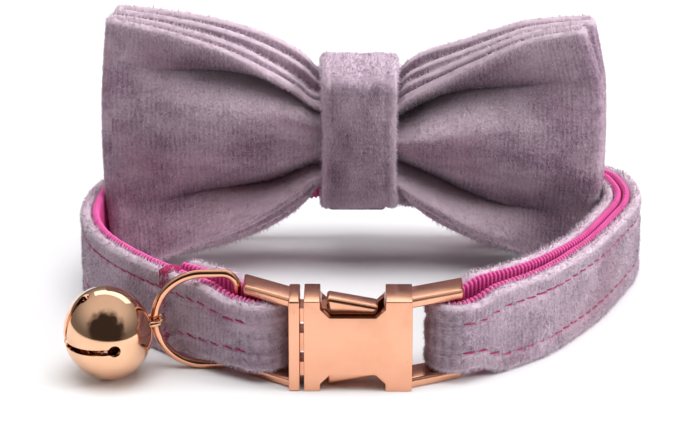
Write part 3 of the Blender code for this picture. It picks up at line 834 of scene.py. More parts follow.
class Bench:
    """Tools of the metal bench: primitives by operators, edited, joined, cut and finished."""

    @staticmethod
    def clear() -> None:
        """Deselect everything."""
        bpy.ops.object.select_all(action="DESELECT")

    @staticmethod
    def pick(obj: bpy.types.Object) -> None:
        """Select one object alone and make it the active one."""
        Bench.clear()
        obj.select_set(True)
        bpy.context.view_layer.objects.active = obj

    @staticmethod
    def settle(obj: bpy.types.Object) -> bpy.types.Object:
        """Apply the object's place, turn and size to its mesh."""
        Bench.pick(obj)
        bpy.ops.object.transform_apply(location=True, rotation=True, scale=True)
        return obj

    @staticmethod
    def outwards(obj: bpy.types.Object) -> None:
        """Point every face of a closed mesh outwards."""
        Bench.pick(obj)
        bpy.ops.object.mode_set(mode="EDIT")
        bpy.ops.mesh.select_all(action="SELECT")
        bpy.ops.mesh.normals_make_consistent(inside=False)
        bpy.ops.object.mode_set(mode="OBJECT")

    @staticmethod
    def block(name: str, low: Vector, high: Vector) -> bpy.types.Object:
        """Box between two corners.

        Args:
            name: name of the piece.
            low: lowest corner.
            high: highest corner.

        Returns:
            The box.
        """
        Bench.clear()
        bpy.ops.mesh.primitive_cube_add(size=1.0, location=(low + high) / 2)
        obj = bpy.context.object
        obj.name = name
        obj.scale = high - low
        return Bench.settle(obj)

    @staticmethod
    def rod(name: str, middle: Vector, along: Vector, radius: float, length: float) -> bpy.types.Object:
        """Round rod.

        Args:
            name: name of the piece.
            middle: its centre.
            along: its direction.
            radius: its radius.
            length: its length.

        Returns:
            The rod.
        """
        Bench.clear()
        turn = along.to_track_quat("Z", "Y").to_euler()
        bpy.ops.mesh.primitive_cylinder_add(vertices=48, radius=radius, depth=length, location=middle, rotation=turn)
        obj = bpy.context.object
        obj.name = name
        return Bench.settle(obj)

    @staticmethod
    def ball(name: str, middle: Vector, turn: Quaternion, radius: float, segments: int) -> bpy.types.Object:
        """Ball.

        Args:
            name: name of the piece.
            middle: its centre.
            turn: how its poles are turned.
            radius: its radius.
            segments: meridians; it has half as many rings.

        Returns:
            The ball.
        """
        Bench.clear()
        bpy.ops.mesh.primitive_uv_sphere_add(
            segments=segments, ring_count=segments // 2, radius=radius, location=middle, rotation=turn.to_euler()
        )
        obj = bpy.context.object
        obj.name = name
        return Bench.settle(obj)

    @staticmethod
    def choose(obj: bpy.types.Object, kind: str, chosen: Callable[..., bool]) -> None:
        """Go into edit mode with chosen corners or edges selected.

        Args:
            obj: piece to shape.
            kind: VERT or EDGE.
            chosen: tells which of them are selected.
        """
        Bench.pick(obj)
        bpy.ops.object.mode_set(mode="EDIT")
        bpy.ops.mesh.select_mode(type=kind)
        bpy.ops.mesh.select_all(action="DESELECT")
        shape = bmesh.from_edit_mesh(obj.data)
        for element in shape.verts if kind == "VERT" else shape.edges:
            element.select = chosen(element)
        shape.select_flush(True)
        bmesh.update_edit_mesh(obj.data)

    @staticmethod
    def move(obj: bpy.types.Object, chosen: Callable[[Vector], bool], by: Vector) -> None:
        """Move chosen corners in edit mode.

        Args:
            obj: piece to shape.
            chosen: tells by their place which corners move.
            by: how far they move.
        """
        Bench.choose(obj, "VERT", lambda vertex: chosen(vertex.co))
        bpy.ops.transform.translate(value=by)
        bpy.ops.object.mode_set(mode="OBJECT")

    @staticmethod
    def bevel_edges(
        obj: bpy.types.Object, chosen: Callable[[bmesh.types.BMEdge], bool], width: float, steps: int
    ) -> None:
        """Bevel chosen edges in edit mode.

        Args:
            obj: piece to shape.
            chosen: tells which edges are bevelled.
            width: width of the bevel.
            steps: its segments.
        """
        Bench.choose(obj, "EDGE", chosen)
        bpy.ops.mesh.bevel(offset=width, segments=steps, profile=0.5)
        bpy.ops.object.mode_set(mode="OBJECT")

    @staticmethod
    def round_along(obj: bpy.types.Object, along: Vector, width: float, steps: int) -> None:
        """Round the edges that run along a direction.

        Args:
            obj: piece to shape.
            along: direction of the edges.
            width: width of the rounding.
            steps: its segments.
        """

        def runs_along(edge: bmesh.types.BMEdge) -> bool:
            """Whether an edge runs along the direction."""
            return abs((edge.verts[1].co - edge.verts[0].co).normalized().dot(along)) > 0.9

        Bench.bevel_edges(obj, runs_along, width, steps)

    @staticmethod
    def soften(obj: bpy.types.Object, width: float, steps: int, angle: float = radians(32)) -> None:
        """Round all sharp edges with a Bevel modifier, applied."""
        Bench.pick(obj)
        bevel = obj.modifiers.new("soft edges", "BEVEL")
        bevel.width = width
        bevel.segments = steps
        bevel.limit_method = "ANGLE"
        bevel.angle_limit = angle
        bevel.use_clamp_overlap = True
        bevel.miter_outer = "MITER_ARC"
        bpy.ops.object.modifier_apply(modifier=bevel.name)

    @staticmethod
    def combine(obj: bpy.types.Object, operation: str, others: Sequence[bpy.types.Object]) -> None:
        """Join or cut a piece with others, which are used up.

        Args:
            obj: piece that stays.
            operation: UNION or DIFFERENCE.
            others: pieces that go into it.
        """
        for other in others:
            Bench.pick(obj)
            boolean = obj.modifiers.new(operation.lower(), "BOOLEAN")
            boolean.operation = operation
            boolean.object = other
            boolean.solver = "EXACT"
            bpy.ops.object.modifier_apply(modifier=boolean.name)
            bpy.data.objects.remove(other, do_unlink=True)

    @staticmethod
    def smooth(obj: bpy.types.Object, angle: float = radians(30)) -> None:
        """Shade a piece smooth up to an angle."""
        Bench.pick(obj)
        bpy.ops.object.shade_smooth_by_angle(angle=angle)

    @staticmethod
    def wire(name: str, points: list[Vector], radius: float, sides: int, closed: bool) -> bpy.types.Object:
        """Round wire along points.

        Args:
            name: name of the piece.
            points: the wire's middle.
            radius: its radius.
            sides: its facets.
            closed: whether it closes on itself.

        Returns:
            The wire as a mesh.
        """
        count = len(points)
        rings: list[list[Vector]] = []
        side = None
        for index, point in enumerate(points):
            ahead = points[(index + 1) % count] if closed else points[min(index + 1, count - 1)]
            behind = points[index - 1] if closed else points[max(index - 1, 0)]
            along = (ahead - behind).normalized()
            if side is None:
                side = along.orthogonal().normalized()
            side = (side - along * side.dot(along)).normalized()
            other = along.cross(side)
            ring = []
            for step in range(sides):
                angle = 2 * pi * step / sides
                ring.append(point + (side * cos(angle) + other * sin(angle)) * radius)
            rings.append(ring)
        twist = 0
        if closed:
            twist = min(range(sides), key=lambda k: (rings[-1][k % sides] - rings[0][0]).length)
        faces: list[tuple[int, ...]] = []
        for index in range(count if closed else count - 1):
            last = index == count - 1
            for step in range(sides):
                after = (step + 1) % sides
                shift = twist if last else 0
                here, next_here = (step + shift) % sides, (after + shift) % sides
                there = (index + 1) % count
                faces.append(
                    (index * sides + here, index * sides + next_here, there * sides + after, there * sides + step)
                )
        if not closed:
            faces.append(tuple(range(sides)))
            faces.append(tuple(reversed(range((count - 1) * sides, count * sides))))
        mesh = bpy.data.meshes.new(name)
        mesh.from_pydata([tuple(v) for ring in rings for v in ring], [], faces)
        obj = bpy.data.objects.new(name, mesh)
        bpy.context.scene.collection.objects.link(obj)
        Bench.outwards(obj)
        mesh.shade_smooth()
        return obj


@dataclass
class Workshop:
    """Carries the maker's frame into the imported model's, and books finished pieces in."""

    body_left: float = -6.5 * MM
    shift: Vector = field(init=False)

    def __post_init__(self) -> None:
        """Find the shift from the buckle body, whose lowest corner has a known place in the maker's frame."""
        low, _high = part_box("buckle_body")
        self.shift = low - Vector((self.body_left, 0.0, 0.0))

    def at(self, x: float, y: float, z: float) -> Vector:
        """A place of the maker's frame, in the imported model's frame."""
        return Vector((x, y, z)) + self.shift

    def book(
        self, obj: bpy.types.Object, material: bpy.types.Material, slot: str, replaces: Sequence[str] = ()
    ) -> bpy.types.Object:
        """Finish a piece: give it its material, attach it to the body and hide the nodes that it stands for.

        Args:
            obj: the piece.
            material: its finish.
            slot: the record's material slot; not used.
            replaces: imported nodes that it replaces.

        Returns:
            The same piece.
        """
        obj.data.materials.clear()
        obj.data.materials.append(material)
        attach(obj, BODY)
        if replaces:
            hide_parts(*replaces)
        LOG.info("%s: %d faces", obj.name, len(obj.data.polygons))
        return obj


@dataclass
class StrapRoute:
    """The strap's way in plan: round the ring, folded round both buckle bars and back inside itself."""

    half_width: float = 39.0 * MM
    depth: float = 54.0 * MM
    gap: float = 0.3 * MM
    velvet: float = 1.2 * MM
    webbing: float = 0.9 * MM
    height: float = 11.5 * MM
    left_tail: float = 13.5 * MM
    left_taper: float = 21.6 * MM
    right_tail: float = 95.0 * MM
    right_taper: float = 30.0 * MM
    squeeze: float = 5.0 * MM
    back_lift: float = 7.0 * MM
    back_reach: float = 36.0 * MM
    bar_radius: float = 1.0 * MM
    rail_thickness: float = 1.3 * MM
    left_overhang: float = 1.7 * MM
    right_overhang: float = 1.1 * MM
    ring_pass: float = 9.2 * MM
    buckle_height: float = 12.0 * MM
    outline: tuple[tuple[float, float], ...] = (
        (-0.305, 0.026), (-0.371, 0.056), (-0.508, 0.122), (-0.651, 0.222), (-0.785, 0.331),
        (-0.895, 0.456), (-0.951, 0.585), (-0.958, 0.713), (-0.921, 0.848), (-0.808, 0.948),
        (-0.615, 0.994), (-0.308, 1.000), (0.000, 1.000), (0.308, 1.002), (0.641, 1.009),
        (0.833, 0.996), (0.959, 0.935), (1.005, 0.806), (0.990, 0.694), (0.933, 0.585),
        (0.844, 0.443), (0.764, 0.341), (0.636, 0.209), (0.503, 0.122), (0.364, 0.048),
        (0.269, 0.013),
    )
    left_row: int = 1
    right_row: int = 24
    steps: int = 24
    points: list[Vector] = field(init=False)
    distances: list[float] = field(init=False)
    left: float = field(init=False)
    right: float = field(init=False)
    back: float = field(init=False)

    def __post_init__(self) -> None:
        """Lay the outline out and measure along it."""
        knots = [Vector((x * self.half_width, y * self.depth)) for x, y in self.outline]
        last = len(knots) - 1
        self.points = []
        rows = []
        for index in range(last):
            before, start = knots[max(index - 1, 0)], knots[index]
            end, after = knots[index + 1], knots[min(index + 2, last)]
            rows.append(len(self.points))
            for step in range(self.steps):
                self.points.append(hermite(start, (end - before) / 2, end, (after - start) / 2, step / self.steps))
        rows.append(len(self.points))
        self.points.append(knots[-1])
        self.distances = [0.0]
        for start, end in zip(self.points, self.points[1:]):
            self.distances.append(self.distances[-1] + (end - start).length)
        self.left = self.distances[rows[self.left_row]]
        self.right = self.distances[rows[self.right_row]]
        middle = Vector((0.0, self.depth))
        self.back = self.distances[min(range(len(self.points)), key=lambda i: (self.points[i] - middle).length)]

    @property
    def first_webbing(self) -> float:
        """Depth of the webbing's middle behind the velvet's outer face."""
        return self.velvet + self.gap + self.webbing / 2

    @property
    def turn_radius(self) -> float:
        """Radius of the webbing's middle round a bar."""
        return self.bar_radius + self.gap + self.webbing / 2

    def place(self, distance: float) -> tuple[Vector, Vector]:
        """Point of the outer face and the inward normal there.

        Args:
            distance: distance along the outline.

        Returns:
            The point and the normal, in plan.
        """
        low, high = 0, len(self.distances) - 1
        while high - low > 1:
            middle = (low + high) // 2
            low, high = (middle, high) if self.distances[middle] < distance else (low, middle)
        start, end = self.points[low], self.points[high]
        share = (distance - self.distances[low]) / (self.distances[high] - self.distances[low])
        before = self.points[max(low - 5, 0)]
        after = self.points[min(low + 6, len(self.points) - 1)]
        along = (after - before).normalized()
        return start + (end - start) * share, Vector((along.y, -along.x))

    def edges(self, distance: float) -> tuple[float, float]:
        """Lower and upper edge of the strap.

        Args:
            distance: distance along the outline.

        Returns:
            Both heights over the table.
        """
        low = self.rail_thickness + self.gap
        high = self.buckle_height - self.rail_thickness - self.gap
        from_left = distance - self.left
        from_right = self.right - distance - self.right_overhang
        below = ease(min(from_left - self.ring_pass, from_right) / self.squeeze)
        above = ease(min(from_left - self.left_overhang, from_right) / self.squeeze)
        away = abs(distance - self.back)
        lift = self.back_lift * cos(pi * away / (2 * self.back_reach)) ** 2 if away < self.back_reach else 0.0
        return low * (1.0 - below) + lift, high + (self.height - high) * above + lift

    def bar(self, distance: float) -> tuple[Vector, Vector]:
        """Middle of the bar that the strap folds round, and the inward normal there."""
        point, inward = self.place(distance)
        return point + inward * (self.first_webbing + self.turn_radius), inward


@dataclass
class Station:
    """One place along the strap."""

    middle: Vector
    side: Vector
    bottom: float
    top: float
    outer: bool
    distance: float
    puff: float = 0.0


@dataclass
class Strap:
    """Velvet band, webbing lining, stitch rows and bar-tacks."""

    route: StrapRoute
    shop: Workshop
    velvet_thickness: float = 1.32 * MM
    velvet_sink: float = 0.06 * MM
    webbing_thickness: float = 0.98 * MM
    velvet_step: float = 0.42 * MM
    rib_pitch: float = 0.62 * MM
    rib_samples: int = 4
    rib_depth: float = 0.15 * MM
    stitch_inset: float = 2.45 * MM
    stitch_length: float = 1.80 * MM
    stitch_gap: float = 0.22 * MM
    thread_radius: float = 0.125 * MM
    seam_dip: float = 0.26 * MM
    seam_reach: float = 0.80 * MM
    fold_puff: float = 0.75 * MM
    nap_wave: float = 0.09 * MM
    nap_fuzz: float = 0.035 * MM
    edge_wave: float = 0.14 * MM
    edge_fuzz: float = 0.10 * MM
    tack_strands: int = 5
    tack_spread: float = 0.34 * MM
    tack_rows: int = 17

    @property
    def velvet_offset(self) -> float:
        """Distance from the webbing's middle to the velvet's."""
        return self.route.webbing / 2 + self.route.gap + self.route.velvet / 2 - self.velvet_sink

    def _layer(self, distances: list[float], inner: bool, bar: float = 0.0, taper: float = 1.0) -> list[Station]:
        """Stations of the outer layer, or of the layer folded back inside it.

        Args:
            distances: places along the outline.
            inner: whether this is the layer folded back.
            bar: place of the bar that it comes from.
            taper: length over which it closes up against the outer layer.

        Returns:
            The stations.
        """
        route = self.route
        stations = []
        for distance in distances:
            point, inward = route.place(distance)
            bottom, top = route.edges(distance)
            depth, side = route.first_webbing, -inward
            if inner:
                closed = ease(abs(distance - bar) / taper)
                depth += 2 * route.turn_radius * (1.0 - closed) + (route.webbing + route.gap) * closed
                side = inward
            stations.append(Station(point + inward * depth, side, bottom, top, not inner, distance))
        return stations

    def _turn(self, distance: float, to_inside: bool, steps: int) -> list[Station]:
        """Stations of the half turn round a bar.

        Args:
            distance: place of the bar along the outline.
            to_inside: whether the strap comes from outside and goes in.
            steps: number of steps of the turn.

        Returns:
            The stations between both layers.
        """
        route = self.route
        bar, inward = route.bar(distance)
        towards = Vector((-1.0, 0.0)) if bar.x > 0 else Vector((1.0, 0.0))
        sideways = (towards - inward * towards.dot(inward)).normalized()
        low = route.rail_thickness + route.gap
        high = route.buckle_height - route.rail_thickness - route.gap
        stations = []
        for step in range(1, steps):
            angle = pi * step / steps
            first = -inward if to_inside else inward
            away = first * cos(angle) + sideways * sin(angle)
            puff = 0.0 if to_inside else self.fold_puff * sin(angle)
            stations.append(Station(bar + away * route.turn_radius, away, low, high, True, distance, puff))
        return stations

    @staticmethod
    def _spaced(start: float, end: float, step: float) -> list[float]:
        """Evenly spaced values from start to end."""
        count = max(2, ceil(abs(end - start) / step))
        return [start + (end - start) * index / count for index in range(count + 1)]

    def stations(self, step: float) -> list[Station]:
        """Stations of the whole strap from its left end to its right end, about a step apart."""
        route = self.route
        turn_steps = max(8, ceil(pi * route.turn_radius / step))
        left, right = route.left, route.right
        found = self._layer(self._spaced(left + route.left_tail, left, step), True, left, route.left_taper)
        found += self._turn(left, False, turn_steps)
        found += self._layer(self._spaced(left, right, step), False)
        found += self._turn(right, True, turn_steps)
        found += self._layer(self._spaced(right, right - route.right_tail, step), True, right, route.right_taper)
        return found

    @staticmethod
    def _lengths(found: list[Station]) -> list[float]:
        """Length along the strap up to each station."""
        steps = [(there.middle - here.middle).length for here, there in zip(found, found[1:])]
        return list(accumulate(steps, initial=0.0))

    def _seam(self, height: float, full: float) -> float:
        """How near a height is to one of the two stitch rows, from 0 to 1."""
        low = bell_curve((height - self.stitch_inset) / self.seam_reach)
        high = bell_curve((height - (full - self.stitch_inset)) / self.seam_reach)
        return max(low, high)

    def _velvet_columns(self, found: list[Station]) -> list[Column]:
        """Columns of the velvet band, with puckers along its stitch rows and a soft uneven edge."""
        route, shop = self.route, self.shop
        columns = []
        for station, here in zip(found, self._lengths(found)):

            def place(height: float, across: float, station: Station = station, here: float = here) -> Vector:
                full = station.top - station.bottom
                share = height / route.height
                level = share * full
                rough = noise.noise(Vector((here * 900, share * 7, 0.0)))
                wave = noise.noise(Vector((here * 190, share * 3, 5.0)))
                seam = self._seam(level, full)
                pucker = 0.72 + 0.28 * cos(2 * pi * here / (self.stitch_length + self.stitch_gap))
                out = across
                if across > 0:
                    out -= self.seam_dip * seam * pucker
                    out += self.nap_wave * wave + self.nap_fuzz * rough + station.puff
                nearness = exp(-min(share, 1 - share) * 9)
                jitter = nearness * (self.edge_fuzz * rough + self.edge_wave * wave)
                flat = station.middle + station.side * (self.velvet_offset + out)
                return shop.at(flat.x, flat.y, max(station.bottom + level + jitter, TABLE_CLEAR))

            # Painted shade along the two stitch rows, where the seam dips.
            def fold(height: float, station: Station = station) -> float:
                full = station.top - station.bottom
                return 0.34 * self._seam(height / route.height * full, full)

            columns.append(Column(here, place, fold))
        return columns

    def velvet(self, finish: VelvetFinish) -> bpy.types.Object:
        """Make the velvet band.

        Args:
            finish: its velvet.

        Returns:
            The band.
        """
        found = self.stations(self.velvet_step)
        section = cloth_section(self.route.height, self.velvet_thickness, 26, 6)
        obj = ClothMesh("velvet_band", self._velvet_columns(found), section, False).build()
        return self.shop.book(obj, finish.material(), "velvet", ["strap_velvet"])

    def webbing(self, finish: WebbingFinish) -> bpy.types.Object:
        """Make the ribbed webbing.

        Args:
            finish: its weave.

        Returns:
            The webbing.
        """
        route, shop = self.route, self.shop
        found = self.stations(self.rib_pitch / self.rib_samples)
        columns = []
        for station, along in zip(found, self._lengths(found)):
            rib = 0.5 + 0.5 * cos(2 * pi * along / self.rib_pitch)

            def place(height: float, across: float, station: Station = station, rib: float = rib) -> Vector:
                share = height / route.height
                full = station.top - station.bottom
                sunk = self.rib_depth * (1.0 - rib)
                out = across * (1.0 - 2 * sunk / self.webbing_thickness)
                edge = exp(-min(share, 1 - share) * 14)
                level = share * full + (share - 0.5) * 2 * edge * (rib - 0.6) * 0.34 * MM
                flat = station.middle + station.side * out
                return shop.at(flat.x, flat.y, max(station.bottom + level, TABLE_CLEAR))

            columns.append(Column(along, place, rib=rib))
        section = cloth_section(route.height, self.webbing_thickness, 7, 5)
        obj = ClothMesh("webbing_lining", columns, section, False).build()
        return shop.book(obj, finish.material(), "webbing", ["strap_webbing"])

    def _stitch(self, station: Station, along: Vector, level: float, length: float, proud: float) -> list[Vector]:
        """Bowed path of one stitch on the velvet's outer face.

        Args:
            station: the station at its middle.
            along: direction of the strap there.
            level: its height over the table.
            length: its length.
            proud: how far its middle stands off the dip.

        Returns:
            Points along the thread.
        """
        face = self.velvet_offset + self.velvet_thickness / 2
        points = []
        for step in range(7):
            share = step / 6 * 2 - 1
            out = face - self.seam_dip + proud - (abs(share) ** 3) * 0.16 * MM
            flat = station.middle + station.side * out + along * (share * length / 2)
            points.append(self.shop.at(flat.x, flat.y, level + share * 0.10 * MM))
        return points

    def stitches(self, finish: ThreadFinish) -> bpy.types.Object:
        """Sew the two rows of running stitches.

        Args:
            finish: the thread.

        Returns:
            All stitches as one piece.
        """
        found = self.stations(self.stitch_length + self.stitch_gap)
        threads = []
        for index in range(1, len(found) - 1):
            station = found[index]
            along = (found[index + 1].middle - found[index - 1].middle).normalized()
            bend = (found[index + 1].side - found[index - 1].side).length
            if bend > 0.5:
                continue
            for row, level in enumerate((station.bottom + self.stitch_inset, station.top - self.stitch_inset)):
                wander = noise.noise(Vector((index * 0.37, row * 9.1, 2.0)))
                length = self.stitch_length * (1.0 + 0.3 * wander)
                points = self._stitch(station, along, level + 0.12 * MM * wander, length, (0.12 + 0.06 * wander) * MM)
                threads.append(Bench.wire("thread", points, self.thread_radius, 6, False))
        return self._sewn("stitch_rows", threads, finish)

    def tacks(self, finish: ThreadFinish) -> bpy.types.Object:
        """Sew the dense row that closes the left fold, drawn over the strap's upper edge.

        Args:
            finish: the thread.

        Returns:
            The bar-tack as one piece.
        """
        route, shop = self.route, self.shop
        distance = route.left + route.left_tail - 0.6 * MM
        point, inward = route.place(distance)
        bottom, top = route.edges(distance)
        along = Vector((inward.y, -inward.x))
        face = 0.05 * MM
        total = route.velvet + route.gap + route.webbing
        threads = []
        for strand in range(self.tack_strands):
            slide = (strand - (self.tack_strands - 1) / 2) * self.tack_spread + 0.12 * MM * sin(strand * 1.9)
            base = point + along * slide
            reach = (2.0 + 0.8 * sin(strand * 2.4)) * MM
            path = []
            for share in (0.0, 0.5, 0.86):
                flat = base - inward * (0.02 * MM + face)
                path.append(shop.at(flat.x, flat.y, top - reach * (1 - share)))
            for step in range(6):
                turn = pi * step / 5
                middle = base + inward * (total / 2)
                flat = middle - inward * (cos(turn) * (total / 2 + 0.1 * MM))
                path.append(shop.at(flat.x, flat.y, top + 0.16 * MM * sin(turn)))
            threads.append(Bench.wire("thread", path, self.thread_radius, 6, False))
        for row in range(self.tack_rows):
            level = bottom + 1.2 * MM + (top - bottom - 3.6 * MM) * row / (self.tack_rows - 1)
            wander = noise.noise(Vector((row * 0.7, 3.3, 8.0)))
            base = point + along * (0.35 * MM * wander)
            path = []
            for step in range(5):
                share = step / 4 * 2 - 1
                flat = base + along * (share * 0.34 * MM) - inward * (0.06 * MM - share * share * 0.16 * MM)
                path.append(shop.at(flat.x, flat.y, level + share * 0.3 * MM))
            threads.append(Bench.wire("thread", path, self.thread_radius * 0.9, 6, False))
        return self._sewn("bar_tack", threads, finish)

    def _sewn(self, name: str, threads: list[bpy.types.Object], finish: ThreadFinish) -> bpy.types.Object:
        """Join threads into one piece and book it in."""
        Bench.clear()
        for thread in threads:
            thread.select_set(True)
        bpy.context.view_layer.objects.active = threads[0]
        bpy.ops.object.join()
        obj = bpy.context.object
        obj.name = name
        return self.shop.book(obj, finish.material(), "webbing")

    def flat_length(self) -> float:
        """Length of the strap before it was folded."""
        return self._lengths(self.stations(1.0 * MM))[-1]


@dataclass
class Buckle:
    """Side-release buckle in two halves, each with a loop that the strap folds round."""

    route: StrapRoute
    shop: Workshop
    height: float = 12.0 * MM
    depth: float = 6.0 * MM
    left: float = -6.5 * MM
    right: float = 6.9 * MM
    wall: float = 1.2 * MM
    notch_left: float = -4.5 * MM
    notch_right: float = 3.6 * MM
    notch_depth: float = 2.3 * MM
    notch_slope: float = 1.35 * MM
    shoulder: float = 1.4 * MM
    gap: float = 0.5 * MM
    clear: float = 0.3 * MM
    lever: float = 1.8 * MM
    lever_lean: float = 1.2 * MM
    lever_inset: float = 0.1 * MM
    lever_clear: float = 0.8 * MM
    neck: float = 2.4 * MM
    rail_depth: float = 4.6 * MM
    edge: float = 0.22 * MM

    def _flip(self, z: float, upper: bool) -> float:
        """A height measured from the lower or from the upper edge."""
        return self.height - z if upper else z

    def _block(self, name: str, x: tuple[float, float], y: tuple[float, float], z: tuple[float, float]):
        """Box from its spans in the maker's frame."""
        low = self.shop.at(min(x), min(y), min(z))
        high = self.shop.at(max(x), max(y), max(z))
        return Bench.block(name, low, high)

    def _notch(self, upper: bool) -> bpy.types.Object:
        """Cutter of one waist notch: straight above, sloped at its foot."""
        span_z = (self._flip(-self.wall, upper), self._flip(self.notch_depth, upper))
        notch = self._block(
            "notch", (self.notch_left, self.notch_right), (-self.wall, self.depth + self.wall), span_z
        )
        floor = self.shop.at(0.0, 0.0, self._flip(self.notch_depth, upper)).z

        def at_foot(edge: bmesh.types.BMEdge) -> bool:
            """Whether an edge runs from front to back along the notch's floor."""
            line = edge.verts[1].co - edge.verts[0].co
            return abs(line.y) > abs(line.x) and all(abs(v.co.z - floor) < NEAR for v in edge.verts)

        Bench.bevel_edges(notch, at_foot, self.notch_slope, 1)
        return notch

    def _loop(self, distance: float, inner: float) -> list[bpy.types.Object]:
        """Two rounded rails and the bar of one loop.

        Args:
            distance: place of the bar along the strap's outline.
            inner: the buckle edge that the rails grow from.

        Returns:
            The three pieces.
        """
        route = self.route
        bar, _inward = route.bar(distance)
        side = 1.0 if bar.x > 0 else -1.0
        overhang = route.right_overhang if side > 0 else route.left_overhang
        end = bar.x + side * overhang
        middle, half = self.depth / 2, self.rail_depth / 2
        slope = (bar.y - middle) / (bar.x - inner)
        drift = bar.y + slope * side * overhang - middle
        pieces = []
        for upper in (True, False):
            span_z = (self._flip(0.0, upper), self._flip(route.rail_thickness, upper))
            rail = self._block("rail", (inner - side * 0.4 * MM, end), (middle - half, middle + half), span_z)
            far = self.shop.at(end, 0.0, 0.0).x
            Bench.move(rail, lambda v, far=far: abs(v.x - far) < NEAR, Vector((0.0, drift, 0.0)))
            Bench.round_along(rail, Vector((1.0, drift / (end - inner), 0.0)).normalized(), 0.42 * MM, 4)
            Bench.soften(rail, 0.12 * MM, 2)
            pieces.append(rail)
        rod = Bench.rod(
            "bar",
            self.shop.at(bar.x, bar.y, self.height / 2),
            Vector((0.0, 0.0, 1.0)),
            route.bar_radius,
            self.height - route.rail_thickness,
        )
        return pieces + [rod]

    def _lever(self, upper: bool) -> list[bpy.types.Object]:
        """Root and thumb pad of one release lever."""
        root = self.left - self.gap - 0.2 * MM
        knee = self.notch_left + self.lever_clear
        tip = self.notch_right - self.lever_clear
        front, back = self.wall + self.clear, self.depth - self.wall - self.clear
        channel = self.wall + self.clear
        arm_z = (self._flip(channel, upper), self._flip(channel + self.lever, upper))
        arm = self._block("arm", (root, knee + 1.0 * MM), (front, back), arm_z)
        pad_z = (self._flip(self.lever_inset, upper), self._flip(channel + self.lever, upper))
        pad = self._block("pad", (knee, tip), (front, back), pad_z)
        far = self.shop.at(tip, 0.0, 0.0).x
        outer = self.shop.at(0.0, 0.0, self._flip(self.lever_inset, upper)).z
        down = -1.0 if upper else 1.0
        Bench.move(
            pad,
            lambda v, far=far, outer=outer: abs(v.x - far) < NEAR and abs(v.z - outer) < NEAR,
            Vector((0.0, 0.0, down * self.lever_lean)),
        )
        Bench.round_along(pad, Vector((1.0, 0.0, 0.0)), 0.50 * MM, 4)
        Bench.soften(pad, 0.16 * MM, 2)
        return [pad, arm]

    def body(self, finish: MetalFinish) -> bpy.types.Object:
        """Make the half with the case.

        Args:
            finish: its plating.

        Returns:
            The body.
        """
        case = self._block("buckle_case", (self.left, self.right), (0.0, self.depth), (0.0, self.height))
        Bench.combine(case, "DIFFERENCE", [self._notch(True), self._notch(False)])
        channel = self._block(
            "channel",
            (self.left - self.wall, self.right - self.wall),
            (self.wall, self.depth - self.wall),
            (self.wall, self.height - self.wall),
        )
        Bench.combine(case, "DIFFERENCE", [channel])
        Bench.soften(case, self.edge, 3)
        Bench.combine(case, "UNION", self._loop(self.route.right, self.right))
        Bench.smooth(case)
        return self.shop.book(case, finish.material(), "rose_gold", ["buckle_body"])

    def tongue(self, finish: MetalFinish) -> bpy.types.Object:
        """Make the half with the levers.

        Args:
            finish: its plating.

        Returns:
            The tongue.
        """
        right = self.left - self.gap
        left = right - self.shoulder
        shoulder = self._block("buckle_levers", (left, right), (0.0, self.depth), (0.0, self.height))
        Bench.soften(shoulder, self.edge, 3)
        front, back = self.wall + self.clear, self.depth - self.wall - self.clear
        neck = self._block(
            "neck",
            (right - 0.2 * MM, self.right - self.wall - self.clear),
            (front, back),
            (self.height / 2 - self.neck / 2, self.height / 2 + self.neck / 2),
        )
        Bench.combine(shoulder, "UNION", self._lever(True) + self._lever(False) + [neck])
        Bench.combine(shoulder, "UNION", self._loop(self.route.left, left))
        Bench.smooth(shoulder)
        return self.shop.book(shoulder, finish.material(), "rose_gold", ["buckle_tongue"])


